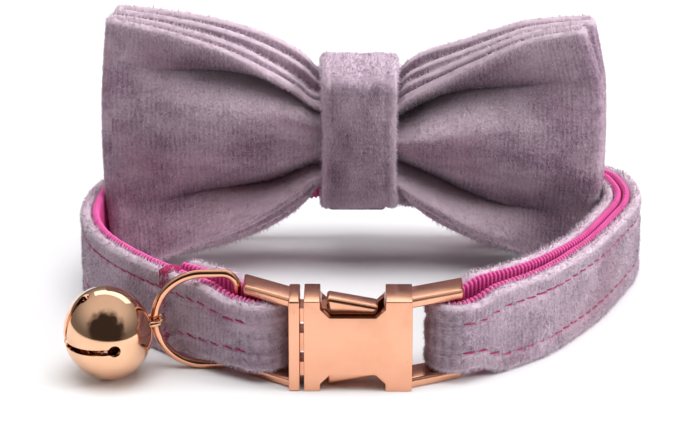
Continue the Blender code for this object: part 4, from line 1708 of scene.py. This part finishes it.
@dataclass
class RingAndBell:
    """D-ring threaded round the strap's outer layer, and the jingle bell hooked on it."""

    route: StrapRoute
    shop: Workshop
    wire: float = 0.55 * MM
    ring_height: float = 13.4 * MM
    ring_reach: float = 10.9 * MM
    ring_corner: float = 1.8 * MM
    ring_turn: float = radians(-2)
    from_bar: float = 2.7 * MM
    bell_radius: float = 5.95 * MM
    bell_flatness: float = 0.92
    bell_wall: float = 0.6 * MM
    bell_drop: float = radians(-9)
    bell_turn: float = radians(203)
    slit_width: float = 0.8 * MM
    hole_radius: float = 0.75 * MM
    long_reach: float = radians(80)
    short_reach: float = radians(65)
    eye_radius: float = 1.3 * MM
    eye_wire: float = 0.35 * MM

    def _frame(self) -> tuple[Vector, Vector, float]:
        """Middle of the ring's straight side, direction of its bow, and the length of its straight part."""
        point, inward = self.route.place(self.route.left + self.from_bar)
        seat = self.route.first_webbing + self.route.webbing / 2 + self.route.gap + self.wire
        bar = point + inward * seat
        across = Vector((-cos(self.ring_turn), sin(self.ring_turn), 0.0))
        half = self.ring_height / 2 - self.wire
        straight = self.ring_reach - self.wire - half
        return self.shop.at(bar.x, bar.y, self.ring_height / 2), across, straight

    def ring(self, finish: MetalFinish) -> bpy.types.Object:
        """Make the D-ring.

        Args:
            finish: its plating.

        Returns:
            The ring.
        """
        middle, across, straight = self._frame()
        half = self.ring_height / 2 - self.wire
        up = Vector((0.0, 0.0, 1.0))
        points = []
        for index in range(65):
            angle = -pi / 2 + pi * index / 64
            points.append(middle + across * (straight + half * cos(angle)) + up * half * sin(angle))
        corner = self.ring_corner
        for sign in (1.0, -1.0):
            turn = []
            for index in range(7):
                angle = pi / 2 * index / 6
                out = across * (corner - corner * sin(angle)) + up * sign * (half - corner + corner * cos(angle))
                turn.append(middle + out)
            points += turn if sign > 0 else list(reversed(turn))
        obj = Bench.wire("d_ring_wire", points, self.wire, 20, True)
        return self.shop.book(obj, finish.material(), "rose_gold", ["d_ring"])

    def _bell_frame(self) -> tuple[Vector, Vector]:
        """Centre of the bell's ball and of its eye."""
        middle, across, straight = self._frame()
        half = self.ring_height / 2 - self.wire
        tip = middle + across * (straight + half)
        outwards = Vector(
            (cos(self.bell_turn) * cos(self.bell_drop), sin(self.bell_turn) * cos(self.bell_drop), sin(self.bell_drop))
        )
        eye = tip + outwards * (self.eye_radius - self.eye_wire - self.wire - self.route.gap / 2)
        centre = eye + outwards * (self.bell_radius * self.bell_flatness + self.eye_radius - self.eye_wire * 2)
        centre.z = self.bell_radius + self.shop.shift.z
        return centre, eye

    def bell(self, finish: MetalFinish) -> bpy.types.Object:
        """Make the bell with its slits, holes and eye.

        Args:
            finish: its plating.

        Returns:
            The bell.
        """
        centre, eye = self._bell_frame()
        axis = (centre - eye).normalized()
        turn = axis.to_track_quat("Z", "Y")
        flat = Matrix.Diagonal((1.0, 1.0, self.bell_flatness, 1.0))
        place = Matrix.Translation(centre) @ turn.to_matrix().to_4x4() @ flat
        upright, origin = Quaternion(), Vector((0.0, 0.0, 0.0))
        obj = Bench.ball("bell_shell", origin, upright, self.bell_radius, 112)
        hollow = Bench.ball("hollow", origin, upright, self.bell_radius - self.bell_wall, 64)
        for ball in (obj, hollow):
            ball.data.transform(place)
        Bench.combine(obj, "DIFFERENCE", [hollow])
        reach = self.bell_radius * 1.3
        for across, angle in ((Vector((1, 0, 0)), self.long_reach), (Vector((0, 1, 0)), self.short_reach)):
            depth = self.bell_radius * cos(angle)
            thin = Vector((1, 1, 0)) - across
            low = -across * reach - thin * self.slit_width / 2 + Vector((0, 0, depth))
            high = across * reach + thin * self.slit_width / 2 + Vector((0, 0, reach))
            slit = Bench.block("slit", low, high)
            slit.data.transform(place)
            hole = Bench.rod(
                "hole", place @ Vector((0, 0, depth)), turn @ across, self.hole_radius, reach * 2
            )
            Bench.combine(obj, "DIFFERENCE", [slit, hole])
        Bench.soften(obj, 0.09 * MM, 2, radians(40))
        side = Vector((0, 0, 1)).cross(axis).normalized()
        points = []
        for index in range(36):
            angle = 2 * pi * index / 36
            points.append(eye + axis * self.eye_radius * cos(angle) + side * self.eye_radius * sin(angle))
        Bench.combine(obj, "UNION", [Bench.wire("eye", points, self.eye_wire, 14, True)])
        Bench.smooth(obj, radians(35))
        obj.name = "bell_shell"
        return self.shop.book(obj, finish.material(), "rose_gold", ["bell"])


# Edges of the bow from the knot outwards: share of half-width, then shares of the bow's height for the top and
# bottom of the front sheet, the top and bottom of the rearmost sheet, the upper and the lower crease, how much higher
# each crease lies on the left wing than on the right, and the creases' depth and width towards the middle.
BOW_TABLE: tuple[tuple[float, ...], ...] = (
    (0.00, 0.650, 0.390, 0.735, 0.318, 0.612, 0.440, 0.012, 0.000, 0.40, 0.070),
    (0.16, 0.662, 0.362, 0.757, 0.305, 0.624, 0.425, 0.030, -0.012, 0.80, 0.085),
    (0.22, 0.705, 0.325, 0.812, 0.240, 0.652, 0.400, 0.040, -0.014, 0.98, 0.105),
    (0.32, 0.765, 0.270, 0.868, 0.170, 0.694, 0.358, 0.036, -0.014, 1.00, 0.135),
    (0.46, 0.838, 0.195, 0.914, 0.105, 0.728, 0.318, 0.026, 0.006, 0.84, 0.165),
    (0.60, 0.888, 0.140, 0.944, 0.062, 0.742, 0.290, 0.024, 0.020, 0.68, 0.190),
    (0.80, 0.936, 0.062, 0.966, 0.024, 0.762, 0.268, 0.010, 0.010, 0.34, 0.210),
    (1.00, 0.964, 0.016, 0.978, 0.014, 0.780, 0.255, 0.000, 0.000, 0.04, 0.220),
)
FRONT_TOP, FRONT_BOTTOM, REAR_TOP, REAR_BOTTOM, UPPER_CREASE, LOWER_CREASE = 1, 2, 3, 4, 5, 6
UPPER_SKEW, LOWER_SKEW, CREASE, BULGE_SIDE = 7, 8, 9, 10


@dataclass
class Bow:
    """Bow tie: two flattened velvet tubes gathered by a knot, and the elastic loop behind them."""

    route: StrapRoute
    shop: Workshop
    half_width: float = 32.9 * MM
    height: float = 37.5 * MM
    setback: float = 15.6 * MM
    sheet: float = 1.25 * MM
    pitch: float = 1.6 * MM
    tier_pitch: float = 3.4 * MM
    tilt: float = 0.02
    crease_depth: float = 4.1 * MM
    swell: float = 1.5 * MM
    flap_lean: float = 0.6 * MM
    stagger: float = 0.34
    right_sag: float = 0.028
    step: float = 0.6 * MM
    knot_width: float = 10.4 * MM
    knot_shift: float = 0.3 * MM
    knot_wall: float = 1.3 * MM
    knot_bottom: float = 9.7 * MM
    knot_top: float = 30.4 * MM
    knot_bulge: float = 0.9 * MM
    knot_corner: float = 3.0 * MM
    front_slide: float = -0.6 * MM
    rear_slide: float = 0.1 * MM
    front_lean: float = 9.0 * MM
    rear_lean: float = 4.5 * MM
    side_bulge: float = 1.4 * MM
    foot_clear: float = 0.3 * MM
    loop_width: float = 8.0 * MM
    loop_wall: float = 0.9 * MM
    loop_corner: float = 1.2 * MM

    @property
    def face(self) -> float:
        """Depth of the bow's front face behind the buckle's."""
        return self.route.depth - self.setback

    @staticmethod
    def _creases(x_share: float) -> tuple[float, float]:
        """Heights of the upper and the lower crease at a share of the half-width, negative on the left wing."""
        out, side = min(abs(x_share), 1.0), (1.0 if x_share > 0 else -1.0)
        upper = reading(BOW_TABLE, UPPER_CREASE, out) - side * reading(BOW_TABLE, UPPER_SKEW, out)
        lower = reading(BOW_TABLE, LOWER_CREASE, out) - side * reading(BOW_TABLE, LOWER_SKEW, out)
        return upper, lower

    def _crease(self, x_share: float, share: float, falls: tuple[float, float] = (1.35, 1.35)) -> float:
        """How deep a point lies in one of the two creases.

        Args:
            x_share: place across the bow as a share of its half-width.
            share: height as a share of the bow's height.
            falls: how fast the upper and the lower flap rise out of their creases.

        Returns:
            0 on a face to 1 at the bottom of a full crease.
        """
        out = min(abs(x_share), 1.0)
        depth = 0.0
        full, bulge = reading(BOW_TABLE, CREASE, out), reading(BOW_TABLE, BULGE_SIDE, out)
        upper, lower = self._creases(x_share)
        top, bottom = reading(BOW_TABLE, FRONT_TOP, out), reading(BOW_TABLE, FRONT_BOTTOM, out)
        for crease, edge, fall in ((upper, top, falls[0]), (lower, bottom, falls[1])):
            flap = abs(edge - crease)
            on_flap = (share - crease) * (edge - crease) > 0
            away = abs(share - crease) / (flap if on_flap else bulge)
            depth = max(depth, max(1.0 - away, 0.0) ** (fall if on_flap else 1.8))
        return depth * full

    def _face(self, x: float, share: float) -> float:
        """Depth of the bow's front face behind its flat plane.

        Args:
            x: place across the bow.
            share: height as a share of the bow's height.

        Returns:
            The depth, negative where the cloth stands forward.
        """
        out = min(abs(x) / self.half_width, 1.0)
        top, bottom = reading(BOW_TABLE, FRONT_TOP, out), reading(BOW_TABLE, FRONT_BOTTOM, out)
        upper, lower = self._creases(x / self.half_width)
        middle, half = (upper + lower) / 2, (upper - lower) / 2
        depth = self.crease_depth * self._crease(x / self.half_width, share)
        wing = sin(pi * min(max(out * 1.05, 0.0), 1.0))
        depth -= self.swell * wing * bell_curve((share - middle) / (half * 1.1))
        depth -= self.flap_lean * wing * ease((share - upper) / max(top - upper, 0.02))
        depth -= self.flap_lean * wing * ease((lower - share) / max(lower - bottom, 0.02))
        ripple = noise.noise(Vector((x * 95, share * 3.1, 1.7)))
        fine = noise.noise(Vector((x * 330, share * 9.0, 4.2)))
        return depth + (0.34 * ripple + 0.12 * fine) * MM * (1 - exp(-out * 6))

    def _edges(self, out: float, x: float, depth: float) -> tuple[float, float]:
        """Top and bottom of a sheet, as shares of the bow's height.

        Args:
            out: share of the wing, from the knot.
            x: place across the bow.
            depth: 0 for the front sheet to 1 for the rearmost.

        Returns:
            Its top and its bottom.
        """
        front_top, rear_top = reading(BOW_TABLE, FRONT_TOP, out), reading(BOW_TABLE, REAR_TOP, out)
        front_low, rear_low = reading(BOW_TABLE, FRONT_BOTTOM, out), reading(BOW_TABLE, REAR_BOTTOM, out)
        sag = self.right_sag * bell_curve((out - 0.42) / 0.34) if x > 0 else 0.0
        top = front_top + (rear_top - front_top) * depth - sag
        return top, front_low + (rear_low - front_low) * depth

    def _tier_columns(self, front: bool, face_y: float, slide: float, seed: float) -> list[Column]:
        """Columns of one tier, round its front sheet, right fold, rear sheet and left fold."""
        reach = self.half_width - self.pitch / 2 - self.sheet / 2
        count = ceil(reach / self.step)
        shares = [index / count for index in range(-count, count + 1)]
        stops = [(share, 0.0, 0.0) for share in shares]
        turns = [(sin(pi * k / 8), (1 - cos(pi * k / 8)) / 2) for k in range(1, 8)]
        stops += [(1.0, turn, deep) for turn, deep in turns]
        stops += [(share, 0.0, 1.0) for share in reversed(shares)]
        stops += [(-1.0, -turn, 1.0 - deep) for turn, deep in turns]
        columns = []
        along = 0.0
        last = None
        for share_x, turn, deep in stops:
            flat_x = share_x * reach + turn * self.pitch / 2
            if last is not None:
                along += sqrt((flat_x - last[0]) ** 2 + ((deep - last[1]) * self.pitch) ** 2)
            last = (flat_x, deep)
            out = min(abs(flat_x) / self.half_width, 1.0)
            depth = deep * self.stagger if front else 1.0 - (1.0 - deep) * self.stagger
            top, bottom = self._edges(out, flat_x, depth)
            heading = atan2(turn, 1.0 - 2 * deep) if turn else (0.0 if deep < 0.5 else pi)
            normal = Vector((sin(heading), -cos(heading), 0.0))

            def place(
                height: float,
                across: float,
                flat_x: float = flat_x,
                deep: float = deep,
                top: float = top,
                bottom: float = bottom,
                normal: Vector = normal,
            ) -> Vector:
                share = bottom + (top - bottom) * height / self.height
                bulge = 1.0 - (2 * share - 1.0) ** 2
                side = 1.0 if flat_x > 0 else -1.0
                lean = 0.0 if side < 0 else max(share - 0.75, 0.0) * (self.front_lean if front else self.rear_lean)
                end = abs(flat_x) / self.half_width
                x = flat_x + slide + end * end * side * (bulge * self.side_bulge - lean)
                slope = (self._face(flat_x, share + 0.012) - self._face(flat_x, share - 0.012)) / (
                    0.024 * self.height
                )
                y = face_y + self.sheet / 2 + deep * self.pitch + self._face(flat_x, share)
                rough = noise.noise(Vector((flat_x * 700, share * 60, seed)))
                rim = exp(-min(height, self.height - height) / (0.9 * MM))
                z = share * self.height - x * self.tilt * share + rim * rough * 0.09 * MM
                tipped = (normal + Vector((0.0, 0.0, slope)) * (1.0 if normal.y < 0 else -1.0)).normalized()
                spot = Vector((x, y, z)) + tipped * across
                return self.shop.at(spot.x, spot.y, max(spot.z, self.foot_clear))

            # Painted shade: dark in the creases and next to the knot, lighter towards the sheet's rims.
            def fold(height: float, flat_x: float = flat_x, top: float = top, bottom: float = bottom) -> float:
                share = bottom + (top - bottom) * height / self.height
                crease_shade = self._crease(flat_x / self.half_width, share, (0.48, 4.5))
                near = exp(-max(abs(flat_x) / self.half_width - 0.16, 0.0) / 0.07)
                rim = exp(-min(height, self.height - height) / (1.6 * MM))
                return min(crease_shade**0.8 + near * 0.45, 1.0) * (1.0 - 0.85 * rim)

            columns.append(Column(along, place, fold))
        return columns

    def tier(self, name: str, node: str, front: bool, finish: VelvetFinish) -> bpy.types.Object:
        """Make one tier.

        Args:
            name: name of the piece.
            node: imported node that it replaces.
            front: whether it is the front one.
            finish: its velvet.

        Returns:
            The tier.
        """
        face_y = self.face if front else self.face + self.tier_pitch
        slide = self.front_slide if front else self.rear_slide
        section = cloth_section(self.height, self.sheet, 60, 7)
        columns = self._tier_columns(front, face_y, slide, 1.0 if front else 2.0)
        obj = ClothMesh(name, columns, section, True).build()
        return self.shop.book(obj, finish.material(), "velvet", [node])

    def _loop_points(self, y: tuple[float, float], z: tuple[float, float], corner: float) -> list[tuple[float, float]]:
        """Closed outline in y and z of a rectangle with round corners, evenly dense."""
        outline: list[tuple[float, float]] = []
        centres = (
            (y[0] + corner, z[0] + corner, pi),
            (y[1] - corner, z[0] + corner, 1.5 * pi),
            (y[1] - corner, z[1] - corner, 0.0),
            (y[0] + corner, z[1] - corner, 0.5 * pi),
        )
        for centre_y, centre_z, start in centres:
            for step in range(9):
                angle = start + step * pi / 16
                outline.append((centre_y + corner * cos(angle), centre_z + corner * sin(angle)))
        dense: list[tuple[float, float]] = []
        for (y0, z0), (y1, z1) in zip(outline, outline[1:] + outline[:1]):
            length = sqrt((y1 - y0) ** 2 + (z1 - z0) ** 2)
            count = max(1, ceil(length / (0.5 * MM)))
            dense += [(y0 + (y1 - y0) * k / count, z0 + (z1 - z0) * k / count) for k in range(count)]
        return dense

    def _band(
        self, name: str, outline: list[tuple[float, float]], width: float, wall: float, shift: float, bulge: float
    ) -> bpy.types.Object:
        """Closed band round the x axis.

        Args:
            name: name of the piece.
            outline: its middle line in y and z.
            width: its width.
            wall: its thickness.
            shift: place of its middle in x.
            bulge: how far its faces swell.

        Returns:
            The band.
        """
        middle_y = (min(y for y, _z in outline) + max(y for y, _z in outline)) / 2
        low, high = min(z for _y, z in outline), max(z for _y, z in outline)
        middle_z, half = (low + high) / 2, (high - low) / 2
        count = len(outline)
        columns = []
        along = 0.0
        for index, (y, z) in enumerate(outline):
            ahead, behind = outline[(index + 1) % count], outline[index - 1]
            if index:
                along += sqrt((y - behind[0]) ** 2 + (z - behind[1]) ** 2)
            line = Vector((0.0, ahead[0] - behind[0], ahead[1] - behind[1])).normalized()
            normal = Vector((0.0, line.z, -line.y))
            off = abs(z - middle_z) / half

            def place(
                height: float, across: float, y: float = y, z: float = z, normal: Vector = normal, off: float = off
            ) -> Vector:
                share = height / width
                waist = 1.0 - (0.05 * (1.0 - off * off) if bulge else 0.0)
                x = shift + (share - 0.5) * width * waist
                swell = bulge * (1.0 - (2 * share - 1.0) ** 2) * (1.0 - off**2)
                swell *= 1.0 if y < middle_y else 0.25
                hem = -0.16 * MM * bell_curve((min(height, width - height) - 1.5 * MM) / (0.5 * MM)) if bulge else 0.0
                gather = noise.noise(Vector((share * 5, z * 260, 3.0))) * (0.16 * MM if bulge else 0.0)
                lift = 0.0 if across < 0 else hem + gather
                spot = Vector((x, y, z)) + normal * (across + swell + lift)
                return self.shop.at(spot.x, spot.y, spot.z)

            # Painted shade along the hem line, where the knot's hem dips.
            def fold(height: float) -> float:
                near = bell_curve((min(height, width - height) - 1.5 * MM) / (0.5 * MM)) if bulge else 0.0
                return 0.22 * near

            columns.append(Column(along, place, fold))
        return ClothMesh(name, columns, cloth_section(width, wall, 22, 6), True).build()

    def knot(self, finish: VelvetFinish) -> bpy.types.Object:
        """Make the knot band round the middle of both tiers.

        Args:
            finish: its velvet.

        Returns:
            The knot.
        """
        _low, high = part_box("bow_knot")
        half = self.knot_wall / 2
        back = high.y - self.shop.shift.y - half
        outline = self._loop_points(
            (self.face - 0.35 * MM - half, back), (self.knot_bottom + half, self.knot_top - half), self.knot_corner
        )
        obj = self._band("knot_band", outline, self.knot_width, self.knot_wall, self.knot_shift, self.knot_bulge)
        return self.shop.book(obj, finish.material(), "velvet", ["bow_knot"])

    def loop(self, finish: ElasticFinish) -> bpy.types.Object:
        """Make the elastic loop that the strap passes through.

        Args:
            finish: its knit.

        Returns:
            The loop.
        """
        low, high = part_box("bow_loop")
        half = self.loop_wall / 2
        shift = self.shop.shift
        outline = self._loop_points(
            (low.y - shift.y + half, high.y - shift.y - half),
            (low.z - shift.z + half, high.z - shift.z - half),
            self.loop_corner,
        )
        obj = self._band("elastic_loop", outline, self.loop_width, self.loop_wall, 0.0, 0.0)
        return self.shop.book(obj, finish.material(), "elastic", ["bow_loop"])


@dataclass(frozen=True)
class SoftBox:
    """One soft light that is aimed at the collar."""

    name: str
    place: Triple
    size: tuple[float, float]
    watts: float
    mirrored: bool
    target: Triple = (0.0, 0.0, 0.01)

    def hang(self) -> None:
        """Hang the light."""
        data = bpy.data.lights.new(self.name, "AREA")
        data.shape = "RECTANGLE"
        data.size, data.size_y = self.size
        data.energy = self.watts
        obj = bpy.data.objects.new(self.name, data)
        bpy.context.scene.collection.objects.link(obj)
        obj.location = self.place
        obj.rotation_euler = (Vector(self.target) - Vector(self.place)).to_track_quat("-Z", "Y").to_euler()
        obj.visible_glossy = self.mirrored


@dataclass
class Studio:
    """White table, soft lights and the camera."""

    shop: Workshop
    camera_place: Triple = (0.0, -0.27480, 0.12635)
    camera_turn: float = radians(0.4362)
    camera_drop: float = radians(20.494)
    focal_pixels: float = 2430.0
    sensor: float = 36.0
    horizon: float = 0.19
    zenith: float = 0.80
    camera_side: Colour = (0.045, 0.038, 0.034)
    boxes: tuple[SoftBox, ...] = (
        SoftBox("key_box", (0.02, -0.12, 0.62), (0.50, 0.50), 2.7, False),
        SoftBox("back_box", (0.05, 0.46, 0.44), (0.70, 0.22), 0.8, True),
        SoftBox("right_box", (0.58, -0.06, 0.24), (0.26, 0.22), 2.8, False),
        SoftBox("left_box", (-0.52, 0.02, 0.26), (0.16, 0.30), 0.35, False),
    )

    def camera(self) -> bpy.types.Object:
        """Set the camera up at the photograph's angle."""
        data = bpy.data.cameras.new("camera")
        data.sensor_fit = "HORIZONTAL"
        data.sensor_width = self.sensor
        data.lens = self.focal_pixels / PHOTO_WIDTH * self.sensor
        data.clip_start = 0.01
        data.clip_end = 20.0
        obj = bpy.data.objects.new("camera", data)
        bpy.context.scene.collection.objects.link(obj)
        obj.location = self.shop.at(*self.camera_place)
        ahead = Vector(
            (
                -sin(self.camera_turn) * cos(self.camera_drop),
                cos(self.camera_turn) * cos(self.camera_drop),
                -sin(self.camera_drop),
            )
        )
        obj.rotation_euler = ahead.to_track_quat("-Z", "Y").to_euler()
        bpy.context.scene.camera = obj
        return obj

    def table(self, finish: TableFinish) -> bpy.types.Object:
        """Lay the table top."""
        Bench.clear()
        bpy.ops.mesh.primitive_plane_add(size=12.0, location=(0.0, 0.0, -0.00002))
        obj = Bench.settle(bpy.context.object)
        obj.name = "table_top"
        obj.data.materials.append(finish.material())
        return obj

    def room(self) -> None:
        """Surround the table with a room whose ceiling is bright and whose camera side is dark."""
        world = bpy.data.worlds.new("room")
        bpy.context.scene.world = world
        graph = Graph(world)
        aim = graph.channel("ShaderNodeTexCoord", {}, {}, "Generated")
        towards = Vector((-0.05, -0.90, 0.42)).normalized()
        sockets = {0: aim, 1: tuple(towards)}
        facing = graph.channel("ShaderNodeVectorMath", {"operation": "DOT_PRODUCT"}, sockets, "Value")
        colour = graph.mix(graph.axis(aim, "Z").smooth(0.10, 0.95), (self.horizon,) * 3, (self.zenith,) * 3)
        cloud = graph.grain(aim, (1.0, 1.0, 1.0), 2.6, 3.0)
        dark = (facing + (cloud - 0.5) * 0.5).smooth(0.48, 0.80)
        colour = graph.mix(dark, colour, self.camera_side)
        shader = graph.channel("ShaderNodeBackground", {}, {"Color": colour, "Strength": 1.0})
        graph.node("ShaderNodeOutputWorld", {}, {"Surface": shader})

    def build(self) -> None:
        """Set the whole studio up."""
        self.camera()
        self.table(TableFinish("white_table"))
        for box in self.boxes:
            box.hang()
        self.room()
        view = bpy.context.scene.view_settings
        view.view_transform = "Standard"
        view.look = "None"


def main() -> None:
    """Build the collar piece by piece and set the scene."""
    logging.basicConfig(level=logging.INFO, format="%(name)s %(message)s")
    shop = Workshop()
    route = StrapRoute()
    Studio(shop).build()

    strap_velvet = VelvetFinish("strap_velvet", pile=(0.345, 0.246, 0.318), bright=(0.82, 0.67, 0.77))
    bow_velvet = VelvetFinish("bow_velvet")
    # The knot gets a darker copy of the bow velvet with a paler highlight colour: painted shade and painted highlight
    # on the gathered knot.
    knot_velvet = VelvetFinish("knot_velvet", pile=(0.222, 0.138, 0.200), bright=(0.84, 0.68, 0.80))
    webbing_finish = WebbingFinish("pink_webbing")
    thread = ThreadFinish("crimson_thread")
    satin = MetalFinish("rose_gold_satin", Polish.SATIN)
    mirror = MetalFinish("rose_gold_mirror", Polish.MIRROR)
    bell_plating = MetalFinish(
        "rose_gold_bell", Polish.MIRROR, colour=(0.86, 0.520, 0.335), tarnish=(0.80, 0.44, 0.26)
    )

    strap = Strap(route, shop)
    band = strap.velvet(strap_velvet)
    lining = strap.webbing(webbing_finish)
    rows = strap.stitches(thread)
    tack = strap.tacks(thread)
    length = strap.flat_length()

    fluff = Pile("strap_pile", 150000, (0.0, -0.25, -0.9), bare_seam=3.4).grow(band)
    shop.book(fluff, strap_velvet.material(), "velvet")

    buckle = Buckle(route, shop)
    buckle.body(satin)
    buckle.tongue(satin)
    hanging = RingAndBell(route, shop)
    hanging.ring(mirror)
    hanging.bell(bell_plating)
    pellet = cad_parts["bell_pellet"]
    pellet.data.materials.clear()
    pellet.data.materials.append(mirror.material())

    bow = Bow(route, shop)
    front = bow.tier("front_tier", "bow_front_tier", True, bow_velvet)
    rear = bow.tier("rear_tier", "bow_back_tier", False, bow_velvet)
    knot = bow.knot(knot_velvet)
    bow.loop(ElasticFinish("lilac_elastic"))
    for cloth, velvet, count in ((front, bow_velvet, 150000), (rear, bow_velvet, 90000), (knot, knot_velvet, 40000)):
        fluff = Pile(cloth.name + "_pile", count, (0.15, 0.0, -0.9), seed=count).grow(cloth)
        shop.book(fluff, velvet.material(), "velvet")


if __name__ == "__main__":
    main()
